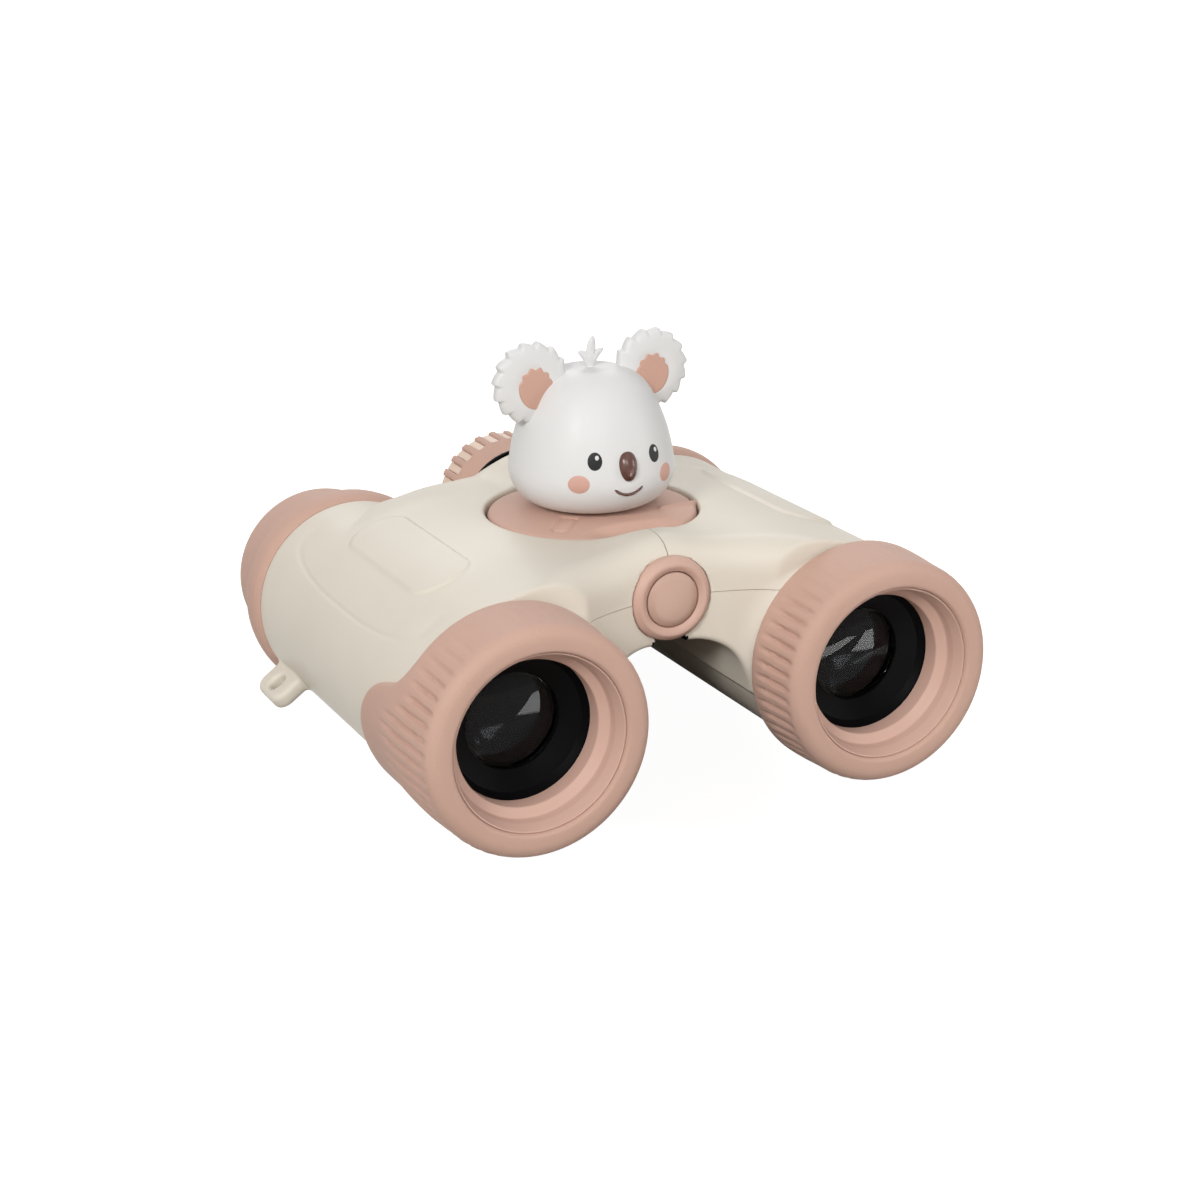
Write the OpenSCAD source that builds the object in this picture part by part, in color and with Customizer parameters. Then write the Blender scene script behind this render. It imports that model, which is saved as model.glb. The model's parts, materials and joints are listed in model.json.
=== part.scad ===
// Folding toy binoculars with an animal head on the bridge.
// Each half is drawn on the +X side and mirrored for the left. While drawing, y = 0 is the plane of
// the objective openings, +Y runs to the eyepieces and z = 0 is the height of the barrel axes.

/* [Layout] */
// Gap between the two barrels, folded flat open
barrel_gap = 26.4; // [25:0.2:29]
// Front of the bridge at the hinge, behind the objective openings
nose_y = 16.5; // [15.5:0.1:17.5]
// Length of the hinge block in front of the well
front_block = 9.2; // [9:0.1:10]
// Length of the hinge block behind the well
rear_block = 10.8; // [10.4:0.1:12]
// Distance from the rear of the bridge to the rear end of the barrels
wheel_bay = 3.5; // [3:0.1:5]
// Largest fold of the right half about the hinge, in degrees
fold_max = 30; // [10:1:30]

/* [Barrel] */
// Outer radius of a barrel
barrel_r = 16.8; // [16.2:0.1:17.2]
// Wall of a barrel
barrel_wall = 2; // [1.6:0.1:2.2]
// Front end of the barrel tube, behind the grip ring's lip
barrel_front = 1.5; // [1.2:0.1:1.8]

/* [Bridge] */
// Height of the bridge's top above the barrels
bridge_rise = 3.2; // [2.8:0.1:3.8]
// Depth of the hinge axis below the bridge's top
hinge_depth = 7.6; // [7.4:0.1:8]
// Half width of the flat top
bridge_flat = 17; // [15:0.5:19]
// Radius of the front edge's sweep, seen from above
nose_sweep = 32.5; // [30:0.5:36]
// Radius of the front wall's upper edge
nose_round = 2.6; // [2:0.1:3.4]
// How far the hump over the front of the hinge stands above the bridge's top
front_hump = 1.7; // [1:0.1:2.2]
// How far the hump in front of the wheel stands above the bridge's top
rear_hump = 2.7; // [2:0.1:3]
// How far the front hump stands behind the front wall
hump_set = 0.45; // [0.3:0.05:0.8]
// Radius of the slope that takes the shoulders down to the rear
tail_r = 25.75; // [24:0.25:30]
// Distance from the middle of that slope's circle to the rear end of the barrels
tail_len = 14; // [12:0.5:16]
// How far that slope's circle reaches above the bridge's top
tail_over = 0.25; // [0.15:0.05:0.4]
// Radius of the arch on the underside, beside each barrel
arch_r = 10; // [9:0.5:11]
// Wall of the lower covers under the well
cover_wall = 2; // [1.6:0.1:2.4]
// Width of the seam between the two halves
seam_gap = 0.2; // [0.1:0.05:0.4]
// Room left in the folding gap at the largest fold, on either side
fold_play = 0.96; // [0.6:0.02:1.4]
// Play between the lower cover and the barrel beside it
cover_play = 0.05; // [0.02:0.01:0.1]

/* [Well] */
// Radius of the well in the bridge
well_r = 17.5; // [17.1:0.1:17.9]

/* [Hinge] */
// Outer radius of the knuckles
knuckle_r = 6; // [5.6:0.1:6.2]
// Length of one knuckle
knuckle_len = 4; // [3.4:0.1:4.2]
// Gap between neighbouring knuckles, and round them
knuckle_gap = 0.3; // [0.2:0.05:0.4]
// Radius of the front hinge pin
pin_r = 2.5; // [2:0.1:3]
// How far the pin's head stands out past the pin
pin_head_w = 1; // [0.6:0.1:1.4]
// Thickness of the pin's head
pin_head_t = 1.2; // [0.8:0.1:1.6]
// Outer radius of the rear hinge bush
bush_r = 3.5; // [3:0.1:4]
// Radial play of a pin, bush or shaft
running_fit = 0.05; // [0.02:0.01:0.1]
// Outer radius of the hinge cap
cap_r = 6.75; // [6.2:0.05:7]
// Radius of the plug in the hinge cap
cap_plug_r = 4.45; // [4:0.05:5]
// How far the hinge cap's crown stands out
cap_crown = 0.9; // [0.5:0.1:1.2]
// Thickness of the hinge cap
cap_t = 1.1; // [0.9:0.1:1.8]

/* [Grip ring] */
// Thickness of the grip ring over the barrel
ring_t = 1.4; // [1:0.1:1.8]
// How far the grip ring widens to its rear edge
ring_flare = 0.3; // [0.1:0.1:0.5]
// Rear edge of the grip ring
ring_rear = 11.8; // [11:0.1:12.5]
// Radius of the rounded front lip
lip_round = 2.2; // [2:0.1:2.6]
// How far the lip reaches in from the barrel's outer radius
lip_reach = 2.9; // [2.6:0.1:3.3]
// Angle between grip grooves, in degrees
groove_pitch = 6.8; // [6:0.1:10]
// Angle above the horizontal where the grooves start on either side, in degrees
groove_start = 25; // [10:1:40]
// Radius of a groove
groove_r = 0.75; // [0.5:0.05:0.9]
// Depth of a groove
groove_depth = 0.4; // [0.2:0.05:0.5]
// Plain edge behind the grooves on the ring
groove_edge = 1.3; // [1:0.1:2]
// Plain edge behind the grooves on the lobe
lobe_edge = 7.1; // [5:0.1:9]
// Rear end of the lobe on the outer side
lobe_rear = 27; // [23:0.5:32]
// Half width of the lobe
lobe_half = 14; // [11:0.5:15]
// Corner radius of the lobe
lobe_round = 8; // [5:0.5:10]
// Height of the lobe above the barrel
lobe_t = 1.3; // [0.8:0.1:1.6]
// Angle of the lobe's middle below the horizontal, in degrees
lobe_angle = 25; // [15:1:35]

/* [Objective] */
// Length of the stepped hood ring
hood_len = 7.3; // [6.5:0.1:8]
// Depth of the hood's outer cone
hood_cone_end = 1.9; // [1.6:0.1:2.2]
// Depth where the hood's first wall ends
hood_wall_end = 3.3; // [2.8:0.1:3.6]
// Depth where the hood's inner cone ends
hood_inner_end = 4.4; // [4:0.1:5]
// Width of the hood's outer cone
hood_step_w = 0.95; // [0.7:0.05:1.2]
// Width of the hood's inner cone
hood_cone_w = 1.5; // [1:0.05:1.8]
// Depth of the black baffle cone
baffle_len = 2.1; // [1.6:0.1:3]
// Length of the objective cell
cell_len = 12.5; // [11:0.5:16]
// Radius of the clear opening in front of the objective lens
lens_clear_r = 7; // [6.5:0.1:7.4]
// Radius of the objective lens
lens_r = 7.6; // [7.5:0.1:9]
// Edge thickness of a lens
lens_edge = 1.8; // [1.4:0.1:2.4]
// Radius of curvature of the lens faces
lens_curve = 28; // [22:1:40]
// Length of the ring that holds the lens
retainer_len = 2; // [1.5:0.1:3]
// Wall of the ring that holds the lens
retainer_wall = 1; // [0.6:0.1:1.2]
// Radial play of a lens in its seat
lens_fit = 0.05; // [0.02:0.01:0.1]

/* [Eyepiece] */
// How far the eyepiece ring stands out past the barrel
eye_ring_t = 1.15; // [0.9:0.05:1.4]
// Length of the eyepiece ring behind the barrel
eye_ring_len = 7; // [6.5:0.1:8]
// Thickness of the eyepiece ring's guide flange
guide_len = 3; // [2.6:0.1:3.4]
// Length of the guide inside the barrel
guide_depth = 5; // [3:0.5:8]
// Gap between the sliding eyepiece tube and the barrel's bore
tube_gap = 1.3; // [1.1:0.1:1.6]
// Wall of the eyepiece tube
tube_wall = 1.7; // [1.4:0.1:2]
// How far the tube runs on in front of its clamp band
tube_lead = 1; // [0.5:0.1:2]
// Depth of the eye lens in its tube
eye_lens_depth = 4.6; // [4:0.1:5.2]
// Edge thickness of the eye lens
eye_lens_edge = 2.6; // [2:0.1:3]
// Middle thickness of the eye lens
eye_lens_mid = 1.3; // [1:0.1:1.6]
// Width of the shoulder that carries the eye lens
eye_seat = 1; // [0.6:0.1:1.4]
// Distance of the tube's rear end from the rear end of the barrel
tube_rear = 13; // [12.5:0.1:14]
// Thickness of the eyecup where it leaves the ring
cup_t = 2.1; // [1.8:0.1:2.3]
// How far the eyecup narrows to its rim
cup_taper = 0.9; // [0.5:0.1:1.3]
// Distance of the eyecup's rim from the rear end of the barrel
cup_rear = 18.7; // [17.5:0.1:20]
// How far the eyecup's hole is smaller than the tube's bore
cup_lip = 0.4; // [0.2:0.1:1]
// Room in front of the eyecup at the end of its travel
cup_play = 1; // [0.6:0.1:1.5]
// Focus travel of the eyepieces either way
focus_travel = 2; // [1.5:0.1:2.2]

/* [Focus] */
// Thickness of the tyre on the hub
tyre_t = 1.3; // [1:0.1:1.6]
// Radius of the wheel's hub under the tyre
hub_r = 10.2; // [9.6:0.1:10.5]
// Length of the focus wheel
wheel_len = 10; // [9:0.1:11]
// Number of fingers on the tyre
finger_count = 25; // [20:1:28]
// Width of a tyre finger
finger_w = 1.1; // [0.8:0.1:1.3]
// Length of the plain band in front of the fingers
band_len = 4.5; // [3.5:0.1:5.5]
// Radius of the focus shaft
shaft_r = 2; // [1.6:0.1:2.4]
// How far the shaft's flange stands out past the shaft
flange_w = 1; // [0.6:0.1:1.3]
// Thickness of the shaft's flange
flange_t = 0.6; // [0.4:0.1:0.8]
// Room between the nut and the flange at the end of the travel
nut_play = 0.4; // [0.3:0.1:0.6]
// Gap between the wheel and what it turns in front of
spin_gap = 0.4; // [0.3:0.05:0.6]
// Length of the focus nut
nut_len = 5; // [4.6:0.1:5.2]
// Outer radius of the focus nut
nut_r = 4.2; // [4:0.1:4.3]
// Radius at the bottom of the nut's groove
groove_floor_r = 3.2; // [3:0.1:3.4]
// Thickness of the forks that sit in the groove
fork_t = 2; // [1.6:0.1:2.2]
// Play of a fork in the groove
fork_play = 0.1; // [0.05:0.01:0.2]

/* [Head] */
// Largest radius of the head
head_r = 13.45; // [12.5:0.1:14]
// Height of the head
head_h = 22; // [20:0.5:24]
// Radius of the head's lower edge
head_low_round = 5.85; // [5:0.1:6.5]
// Radius of the head's upper edge
head_top_round = 7.5; // [6.5:0.1:8.5]
// Radius of the head's sides, between its two edges
head_side_round = 30; // [26:1:40]
// Wall of the head shell
head_wall = 2; // [1.6:0.1:2.4]
// Height of the collar above the bridge's top
collar_rise = 1.1; // [0.8:0.1:1.6]
// Gap between the collar and the well, and between the head and the collar
collar_gap = 0.3; // [0.2:0.05:0.5]
// Thickness of the collar's plate
collar_t = 3; // [2.6:0.1:3.4]
// Radius of the head's neck
neck_r = 4.9; // [4:0.1:5.5]
// Radius of an ear, without its scallops
ear_r = 5.6; // [5:0.1:6]
// Distance of an ear's middle from the middle of the head
ear_x = 10.6; // [10:0.1:11.5]
// Height of an ear's middle above the head's lower face
ear_rise = 20.6; // [19.5:0.1:21.5]
// Thickness of an ear
ear_t = 3.4; // [2.6:0.1:4]
// Radius of a scallop on an ear's edge
scallop_r = 1.7; // [1.3:0.1:2]
// Number of scallops round a whole ear
scallop_count = 13; // [10:1:15]
// Thickness of an ear pad
ear_pad_t = 0.5; // [0.3:0.1:0.8]
// Radius of an ear pad
ear_pad_r = 3.3; // [2.8:0.1:3.8]
// Half width of the nose
nose_r = 1.7; // [1.4:0.1:2.1]
// Height of the nose
nose_h = 4.8; // [4.2:0.1:5.6]
// Height of the nose's middle above the head's lower face
nose_rise = 8.6; // [7.5:0.1:9.5]
// Height of the hair tuft above the head
tuft_h = 4.2; // [3:0.1:5]

/* [Pad and lug] */
// Inner edge of the raised pad, from the middle of the bridge
pad_x0 = 27.7; // [26:0.1:29]
// Width of the raised pad
pad_w = 9.6; // [8:0.1:10]
// Front edge of the raised pad
pad_y0 = 26.5; // [24:0.5:29]
// Length of the raised pad
pad_len = 32.8; // [28:0.2:36]
// Corner radius of the raised pad
pad_round = 2.6; // [1.5:0.1:4]
// Height of the raised pad above the surface
pad_h = 0.5; // [0.3:0.05:0.8]
// Place of the strap lug along the barrel
lug_y = 68.3; // [66:0.1:69]
// Length of the strap lug along the barrel
lug_len = 10; // [9:0.1:11]
// How far the lug stands out from the barrel
lug_reach = 6; // [5.5:0.1:7]
// Thickness of the strap lug
lug_t = 2.6; // [2:0.1:3.2]
// Radius of the lug's corners
lug_round = 2.4; // [1.8:0.1:2.8]
// Radius of the strap hole
lug_hole_r = 1.5; // [1.2:0.1:1.8]
// Angle of the lug below the horizontal, in degrees
lug_angle = 35; // [25:1:45]

/* [Screws] */
// Radius of a screw's shank
screw_r = 1; // [0.8:0.05:1.2]
// Radius of a screw's head
screw_head_r = 1.9; // [1.7:0.05:2.1]
// Height of a screw's head
screw_head_h = 1.3; // [1:0.1:1.6]
// Distance of the cover screws from the middle of the bridge
screw_x = 9.6; // [9.2:0.1:10]

/* [Hidden] */
$fn = 96;

shell_colour = "#d8d1c5";
soft_colour = "#cdab9e";
black_colour = "#1b1c1d";
glass_colour = "#8fa3ad";
steel_colour = "#a9adb0";
head_colour = "#eceae7";
nose_colour = "#4a2d26";

left = -1;
right = 1;
half_spacing = barrel_r + barrel_gap / 2;
bore_r = barrel_r - barrel_wall;
bridge_top = barrel_r + bridge_rise;
hinge_rise = bridge_top - hinge_depth;
seat_fit = 0.05;
hood_draft = 0.1;
hood_edge = 0.2;
ring_r = barrel_r + ring_t;
ring_rear_r = ring_r + ring_flare;
ring_bore_r = barrel_r + seat_fit / 2;
opening_r = barrel_r - lip_reach;
hood_step_r = opening_r - hood_step_w;
hood_rear_r = hood_step_r - hood_cone_w;
lip_front = barrel_front - lip_round;
groove_front = barrel_front + 0.8;
under_z = hinge_rise - hinge_depth;
fold_gap = hinge_depth * tan(fold_max / 2) + fold_play;
well_floor = under_z + cover_wall;
well_front = nose_y + front_block;
well_y = well_front + well_r;
well_back = well_y + well_r;
bridge_rear = well_back + rear_block;
barrel_len = bridge_rear + wheel_bay;

// How far the well's wall curves in over a round face of radius r on the hinge axis
function well_sag(r) = well_r - sqrt(pow(well_r, 2) - pow(r, 2));

pin_head_y = well_front + well_sag(pin_r + pin_head_w) + seat_fit;
flange_back = well_back - well_sag(bush_r) - seat_fit;
flange_y = flange_back - flange_t;
nut_y = flange_y - focus_travel - nut_len / 2 - nut_play;
far = 120;

// Circle through the flat top's edge that runs into the barrel without a crease
top_arc_dx = half_spacing - bridge_flat;
top_arc_r = (pow(top_arc_dx, 2) + pow(bridge_top, 2) - pow(barrel_r, 2)) / (2 * (bridge_top - barrel_r));
top_arc_z = bridge_top - top_arc_r;
top_arc_end = half_spacing + barrel_r * top_arc_dx / (top_arc_r - barrel_r);

// Circle of the arch that runs from the underside into the barrel
arch_z = under_z - arch_r;
arch_x = half_spacing - sqrt(pow(arch_r + barrel_r, 2) - pow(arch_z, 2));
arch_foot_z = barrel_r * arch_z / (arch_r + barrel_r);

// Knuckles: the left half has the first of each pair, the right half the second
front_knuckle_y = well_front - 2 * knuckle_len - 2 * knuckle_gap;
rear_knuckle_y = well_back + knuckle_gap;
rear_knuckle_len = (bridge_rear - rear_knuckle_y - 2 * knuckle_gap) / 2;

cap_rear = front_knuckle_y - seat_fit;
cap_front = cap_rear - cap_t;

cell_y = hood_len + seat_fit;
lens_y = cell_y + baffle_len + seat_fit;
retainer_y = lens_y + lens_edge + seat_fit;

eye_ring_r = barrel_r + eye_ring_t;
tube_r = bore_r - tube_gap;
cup_r = tube_r + cup_t;
cup_rim_r = cup_r - cup_taper;
ring_top_y = barrel_len + guide_len;
cup_front = ring_top_y + focus_travel + cup_play;
cup_rear_y = barrel_len + cup_rear;
tube_rear_y = barrel_len + tube_rear;
tube_front_y = nut_y - fork_t - tube_lead;
tube_bore_r = tube_r - tube_wall;
cup_hole_r = tube_bore_r - cup_lip;
eye_lens_y = tube_rear_y - eye_lens_depth;

arm_low = hinge_rise - 2.9;
arm_high = hinge_rise - 0.3;
fork_half = 4;
fork_inner = 1.8;
fork_reach = 9;
band_t = 0.9;
slot_play = 0.5;
slot_inner = 2;
slot_half = fork_t / 2 + focus_travel + slot_play;

wheel_front = bridge_rear + spin_gap;
wheel_r = hub_r + tyre_t;
wheel_back = wheel_front + wheel_len;
shaft_front = nut_y - nut_len / 2 - focus_travel - nut_play;

collar_seat = bridge_top - collar_t;
collar_top = bridge_top + collar_rise;
ledge_t = 2;
ledge_w = 4;
ledge_half = 7;
collar_r = well_r - collar_gap;
head_low = collar_top + collar_gap;
head_top = head_low + head_h;
low_x = head_r - head_low_round;
low_z = head_low + head_low_round;
top_x = 3.2;
top_z = head_top - head_top_round;

// Middle of the circle that runs into the head's lower and upper edges
low_mid = [low_x, low_z];
top_mid = [top_x, top_z];
mid_gap = norm(top_mid - low_mid);
to_low = head_side_round - head_low_round;
to_top = head_side_round - head_top_round;
along = (pow(to_low, 2) - pow(to_top, 2) + pow(mid_gap, 2)) / (2 * mid_gap);
along_dir = (top_mid - low_mid) / mid_gap;
side_mid = low_mid + along * along_dir + sqrt(pow(to_low, 2) - pow(along, 2)) * [-along_dir[1], along_dir[0]];

base_r = low_x - 0.3;
base_t = 2;
washer_t = 1;
washer_r = neck_r + 1.3;
washer_top = collar_seat - collar_gap;
ear_z = head_low + ear_rise;
nose_z = head_low + nose_rise;

mid_y = (cup_rear_y + lip_front) / 2;
rest_h = ring_rear_r;

// Moves a piece from the drawing frame to the part's own frame
module place() {
  translate([0, -mid_y, rest_h]) children();
}

// Draws a piece of one half, mirrored for the left
module on_side(side) {
  if (side == right) children();
  else mirror([1, 0, 0]) children();
}

// Extrudes a section drawn in x and z along the barrels
module along_y(y0, y1) {
  translate([0, y1, 0]) rotate([90, 0, 0]) linear_extrude(y1 - y0) children();
}

// Turns a profile drawn in radius and y about a barrel's axis
module about_barrel() {
  translate([half_spacing, 0, 0]) rotate([-90, 0, 0]) rotate_extrude() children();
}

// Turns a profile drawn in radius and y about the hinge axis
module about_hinge() {
  translate([0, 0, hinge_rise]) rotate([-90, 0, 0]) rotate_extrude() children();
}

// Turns a profile drawn in radius and z about the head's axis
module about_head() {
  translate([0, well_y, 0]) rotate_extrude() children();
}

// Cylinder along the hinge axis
module hinge_rod(r, y0, y1) {
  translate([0, y0, hinge_rise]) rotate([-90, 0, 0]) cylinder(r = r, h = y1 - y0);
}

// Cylinder along a barrel's axis
module barrel_rod(r, y0, y1) {
  translate([half_spacing, y0, 0]) rotate([-90, 0, 0]) cylinder(r = r, h = y1 - y0);
}

// Rectangle from one corner to the other
module box_2d(x0, y0, x1, y1) {
  translate([x0, y0]) square([x1 - x0, y1 - y0]);
}

// Rectangle with round corners, without facets
module round_box_2d(x0, y0, x1, y1, r) {
  box_2d(x0 + r, y0, x1 - r, y1);
  box_2d(x0, y0 + r, x1, y1 - r);
  for (x = [x0 + r, x1 - r], y = [y0 + r, y1 - r]) translate([x, y]) circle(r);
}

// Start of a knuckle: the first of a pair is the left half's, the second the right half's
function front_start(side) = front_knuckle_y + (side == left ? 0 : knuckle_len + knuckle_gap);
function rear_start(side) = rear_knuckle_y + (side == left ? 0 : rear_knuckle_len + knuckle_gap);

// Section of the bridge above the seam, on the +X side
module bridge_upper_2d() {
  box_2d(seam_gap / 2, hinge_rise, bridge_flat, bridge_top);
  intersection() {
    translate([bridge_flat, top_arc_z]) circle(top_arc_r, $fn = 240);
    box_2d(bridge_flat, hinge_rise, top_arc_end, bridge_top);
  }
}

// Section of the bridge below the seam, on the +X side
module bridge_lower_2d() {
  difference() {
    box_2d(seam_gap / 2, arch_foot_z, half_spacing, hinge_rise);
    translate([arch_x, arch_z]) circle(arch_r);
    box_2d(-1, arch_foot_z - 1, arch_x, under_z);
    translate([half_spacing, 0]) circle(barrel_r + cover_play);
    polygon([
      [-1, hinge_rise + 1], [seam_gap / 2, hinge_rise + 1], [seam_gap / 2, hinge_rise],
      [fold_gap, under_z], [fold_gap, under_z - 1], [-1, under_z - 1]
    ]);
  }
}

// Space behind the front wall, which is swept round an axis in front of it and rounded at its top
module nose_envelope() {
  translate([0, nose_y - nose_sweep, 0]) rotate_extrude() {
    translate([nose_sweep + nose_round, bridge_top - nose_round]) circle(nose_round);
    box_2d(nose_sweep, arch_foot_z - 1, far, bridge_top - nose_round);
    box_2d(nose_sweep + nose_round, arch_foot_z - 1, far, bridge_top + 1);
  }
}

// Space under the slope that takes the shoulders down to the rear
module tail_envelope() {
  tail_y = barrel_len - tail_len;
  translate([-1, 0, -far]) cube([far, tail_y, 2 * far]);
  translate([-1, tail_y, bridge_top + tail_over - tail_r]) rotate([0, 90, 0]) cylinder(r = tail_r, h = far);
}

// Humps of the bridge over the hinge, on the +X side
module humps() {
  intersection() {
    union() {
      hinge_rod(hinge_depth + front_hump, nose_y + hump_set, well_y);
      hinge_rod(hinge_depth + rear_hump, well_y, bridge_rear + 1);
    }
    translate([seam_gap / 2, 0, hinge_rise]) cube(far);
  }
}

// Round hole of the well
module well(z0) {
  translate([0, well_y, z0]) cylinder(r = well_r, h = far);
}

// Room for the focus wheel between the barrels
module wheel_room() {
  room = wheel_r + 2 * spin_gap;
  translate([-room, bridge_rear, -far]) cube([2 * room, far, 2 * far]);
}

// Room for the other half's knuckles
module knuckle_room(side) {
  front = front_start(-side) - knuckle_gap;
  rear = rear_start(-side) + rear_knuckle_len + knuckle_gap;
  room_r = knuckle_r + knuckle_gap;
  hinge_rod(room_r, front, side == left ? well_y : front_start(side));
  hinge_rod(room_r, side == right ? well_y : rear_start(side) + rear_knuckle_len, rear);
}

// Knuckles of one half
module knuckles(side) {
  hinge_rod(knuckle_r, front_start(side), front_start(side) + knuckle_len);
  hinge_rod(knuckle_r, rear_start(side), rear_start(side) + rear_knuckle_len);
}

// Places of the cover screws along the barrels
screw_front_y = front_knuckle_y + knuckle_len;
screw_rear_y = rear_knuckle_y + rear_knuckle_len;
screw_low = 4.4;
screw_top = hinge_rise + 3.6;

// Strap lug on the lower outer side of the barrel
module strap_lug() {
  translate([half_spacing, 0, 0]) rotate([0, lug_angle, 0]) difference() {
    translate([0, 0, -lug_t / 2]) linear_extrude(lug_t) {
      round_box_2d(bore_r + 0.6, lug_y - lug_len / 2, barrel_r + lug_reach, lug_y + lug_len / 2, lug_round);
    }
    translate([barrel_r + lug_reach / 2, lug_y, -lug_t]) cylinder(r = lug_hole_r, h = 2 * lug_t);
  }
}

// Raised bare pad on the shoulder of the bridge
module raised_pad() {
  intersection() {
    along_y(pad_y0 - 1, pad_y0 + pad_len + 1) difference() {
      translate([bridge_flat, top_arc_z]) circle(top_arc_r + pad_h, $fn = 240);
      translate([bridge_flat, top_arc_z]) circle(top_arc_r - pad_h, $fn = 240);
    }
    linear_extrude(far) {
      round_box_2d(pad_x0, pad_y0, pad_x0 + pad_w, pad_y0 + pad_len, pad_round);
    }
  }
}

// Ledge in the left half's side of the well that carries the collar
module collar_ledge() {
  translate([0, well_y, collar_seat - ledge_t]) intersection() {
    difference() {
      cylinder(r = well_r + 0.4, h = ledge_t);
      translate([0, 0, -1]) cylinder(r = well_r - ledge_w, h = ledge_t + 2);
    }
    translate([0, -ledge_half, 0]) cube([far, 2 * ledge_half, ledge_t]);
  }
}

// Slot in the barrel's wall for the focus arm
module arm_slot() {
  translate([0, nut_y - slot_half, arm_low - slot_play]) {
    cube([half_spacing - slot_inner, 2 * slot_half, hinge_rise - arm_low + slot_play]);
  }
}

// Places of the collar screws
module at_collar_screws() {
  for (a = [-16, 16]) {
    translate([0, well_y, 0]) rotate([0, 0, a]) translate([well_r - ledge_w / 2 - 0.2, 0, 0]) children();
  }
}

// One half of the body: barrel tube, upper bridge, knuckles, lug and pad
module body_half(side) {
  difference() {
    union() {
      difference() {
        union() {
          intersection() {
            along_y(ring_rear, barrel_len) bridge_upper_2d();
            nose_envelope();
            tail_envelope();
          }
          humps();
          raised_pad();
        }
        well(hinge_rise - 1);
        knuckle_room(side);
        wheel_room();
        hinge_rod(cap_r + seat_fit, nose_y - 1, front_knuckle_y);
      }
      barrel_rod(barrel_r, barrel_front, barrel_len);
      knuckles(side);
      strap_lug();
      if (side == left) collar_ledge();
    }
    barrel_rod(bore_r, -1, barrel_len + 1);
    hinge_rod(pin_r + running_fit, 0, well_y);
    hinge_rod(bush_r + running_fit, well_y, barrel_len);
    arm_slot();
    for (y = [screw_front_y, screw_rear_y]) translate([screw_x, y, 0]) cylinder(r = screw_r, h = screw_top);
    if (side == left) at_collar_screws() cylinder(r = screw_r + 0.1, h = far);
  }
}

// Lower cover of the bridge
module lower_cover(side) {
  difference() {
    intersection() {
      nose_envelope();
      along_y(ring_rear, barrel_len) bridge_lower_2d();
    }
    well(well_floor);
    wheel_room();
    hinge_rod(knuckle_r + knuckle_gap, nose_y - 1, barrel_len);
    hinge_rod(cap_r + seat_fit, nose_y - 1, front_knuckle_y);
    arm_slot();
    for (y = [screw_front_y, screw_rear_y]) translate([screw_x, y, 0]) {
      translate([0, 0, -far]) cylinder(r = screw_head_r + 0.2, h = far + screw_low + screw_head_h);
      cylinder(r = screw_r + 0.1, h = far);
    }
  }
}

// Screws that hold a lower cover
module cover_screws() {
  for (y = [screw_front_y, screw_rear_y]) translate([screw_x, y, screw_low]) {
    cylinder(r = screw_head_r, h = screw_head_h);
    cylinder(r = screw_r, h = screw_top - screw_low);
  }
}

// Lobe of the grip ring, running back over the barrel's outer side
module ring_lobe() {
  intersection() {
    about_barrel() box_2d(ring_bore_r, ring_rear - 1, barrel_r + lobe_t, lobe_rear + 1);
    translate([half_spacing, 0, 0]) rotate([0, 90 + lobe_angle, 0]) linear_extrude(far) {
      round_box_2d(-lobe_half, ring_rear - 2 - lobe_round, lobe_half, lobe_rear, lobe_round);
    }
  }
}

// Grip ring with its lip, lobe and grooves
module grip_ring() {
  difference() {
    union() {
      about_barrel() polygon([
        [opening_r, lip_front + 0.5], [opening_r + 0.5, lip_front],
        for (a = [-90 : 10 : 0]) [ring_r - lip_round, barrel_front] + lip_round * [cos(a), sin(a)],
        [ring_rear_r, ring_rear - 0.6], [ring_rear_r - 0.4, ring_rear], [ring_bore_r, ring_rear],
        [ring_bore_r, barrel_front - seat_fit], [opening_r, barrel_front - seat_fit]
      ]);
      ring_lobe();
    }
    for (k = [0 : floor((180 + 2 * groove_start) / groove_pitch)]) {
      angle = k * groove_pitch - groove_start;
      on_lobe = abs(angle - lobe_angle) < asin(lobe_half / barrel_r) - groove_pitch;
      groove_end = on_lobe ? lobe_rear - lobe_edge : ring_rear - groove_edge;
      translate([half_spacing, 0, 0]) rotate([0, angle, 0]) {
        translate([ring_r + groove_r - groove_depth, groove_front, 0]) rotate([-90, 0, 0]) {
          cylinder(r = groove_r, h = groove_end - groove_front, $fn = 24);
        }
      }
    }
  }
}

// Stepped insert in the front opening
module hood_ring() {
  about_barrel() polygon([
    [opening_r - seat_fit, 0], [opening_r - seat_fit, barrel_front + seat_fit],
    [bore_r - seat_fit, barrel_front + seat_fit], [bore_r - seat_fit, hood_len], [hood_rear_r, hood_len],
    [hood_rear_r, hood_inner_end], [hood_step_r - hood_draft, hood_wall_end], [hood_step_r, hood_cone_end],
    [opening_r - hood_edge, 0]
  ]);
}

// Black cell that holds the objective lens
module objective_cell() {
  about_barrel() polygon([
    [hood_rear_r, cell_y], [bore_r - seat_fit, cell_y], [bore_r - seat_fit, cell_y + cell_len],
    [lens_r + lens_fit, cell_y + cell_len], [lens_r + lens_fit, lens_y - seat_fit],
    [lens_clear_r, lens_y - seat_fit], [lens_clear_r, lens_y - 0.5], [hood_rear_r, cell_y + 0.2]
  ]);
}

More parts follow.
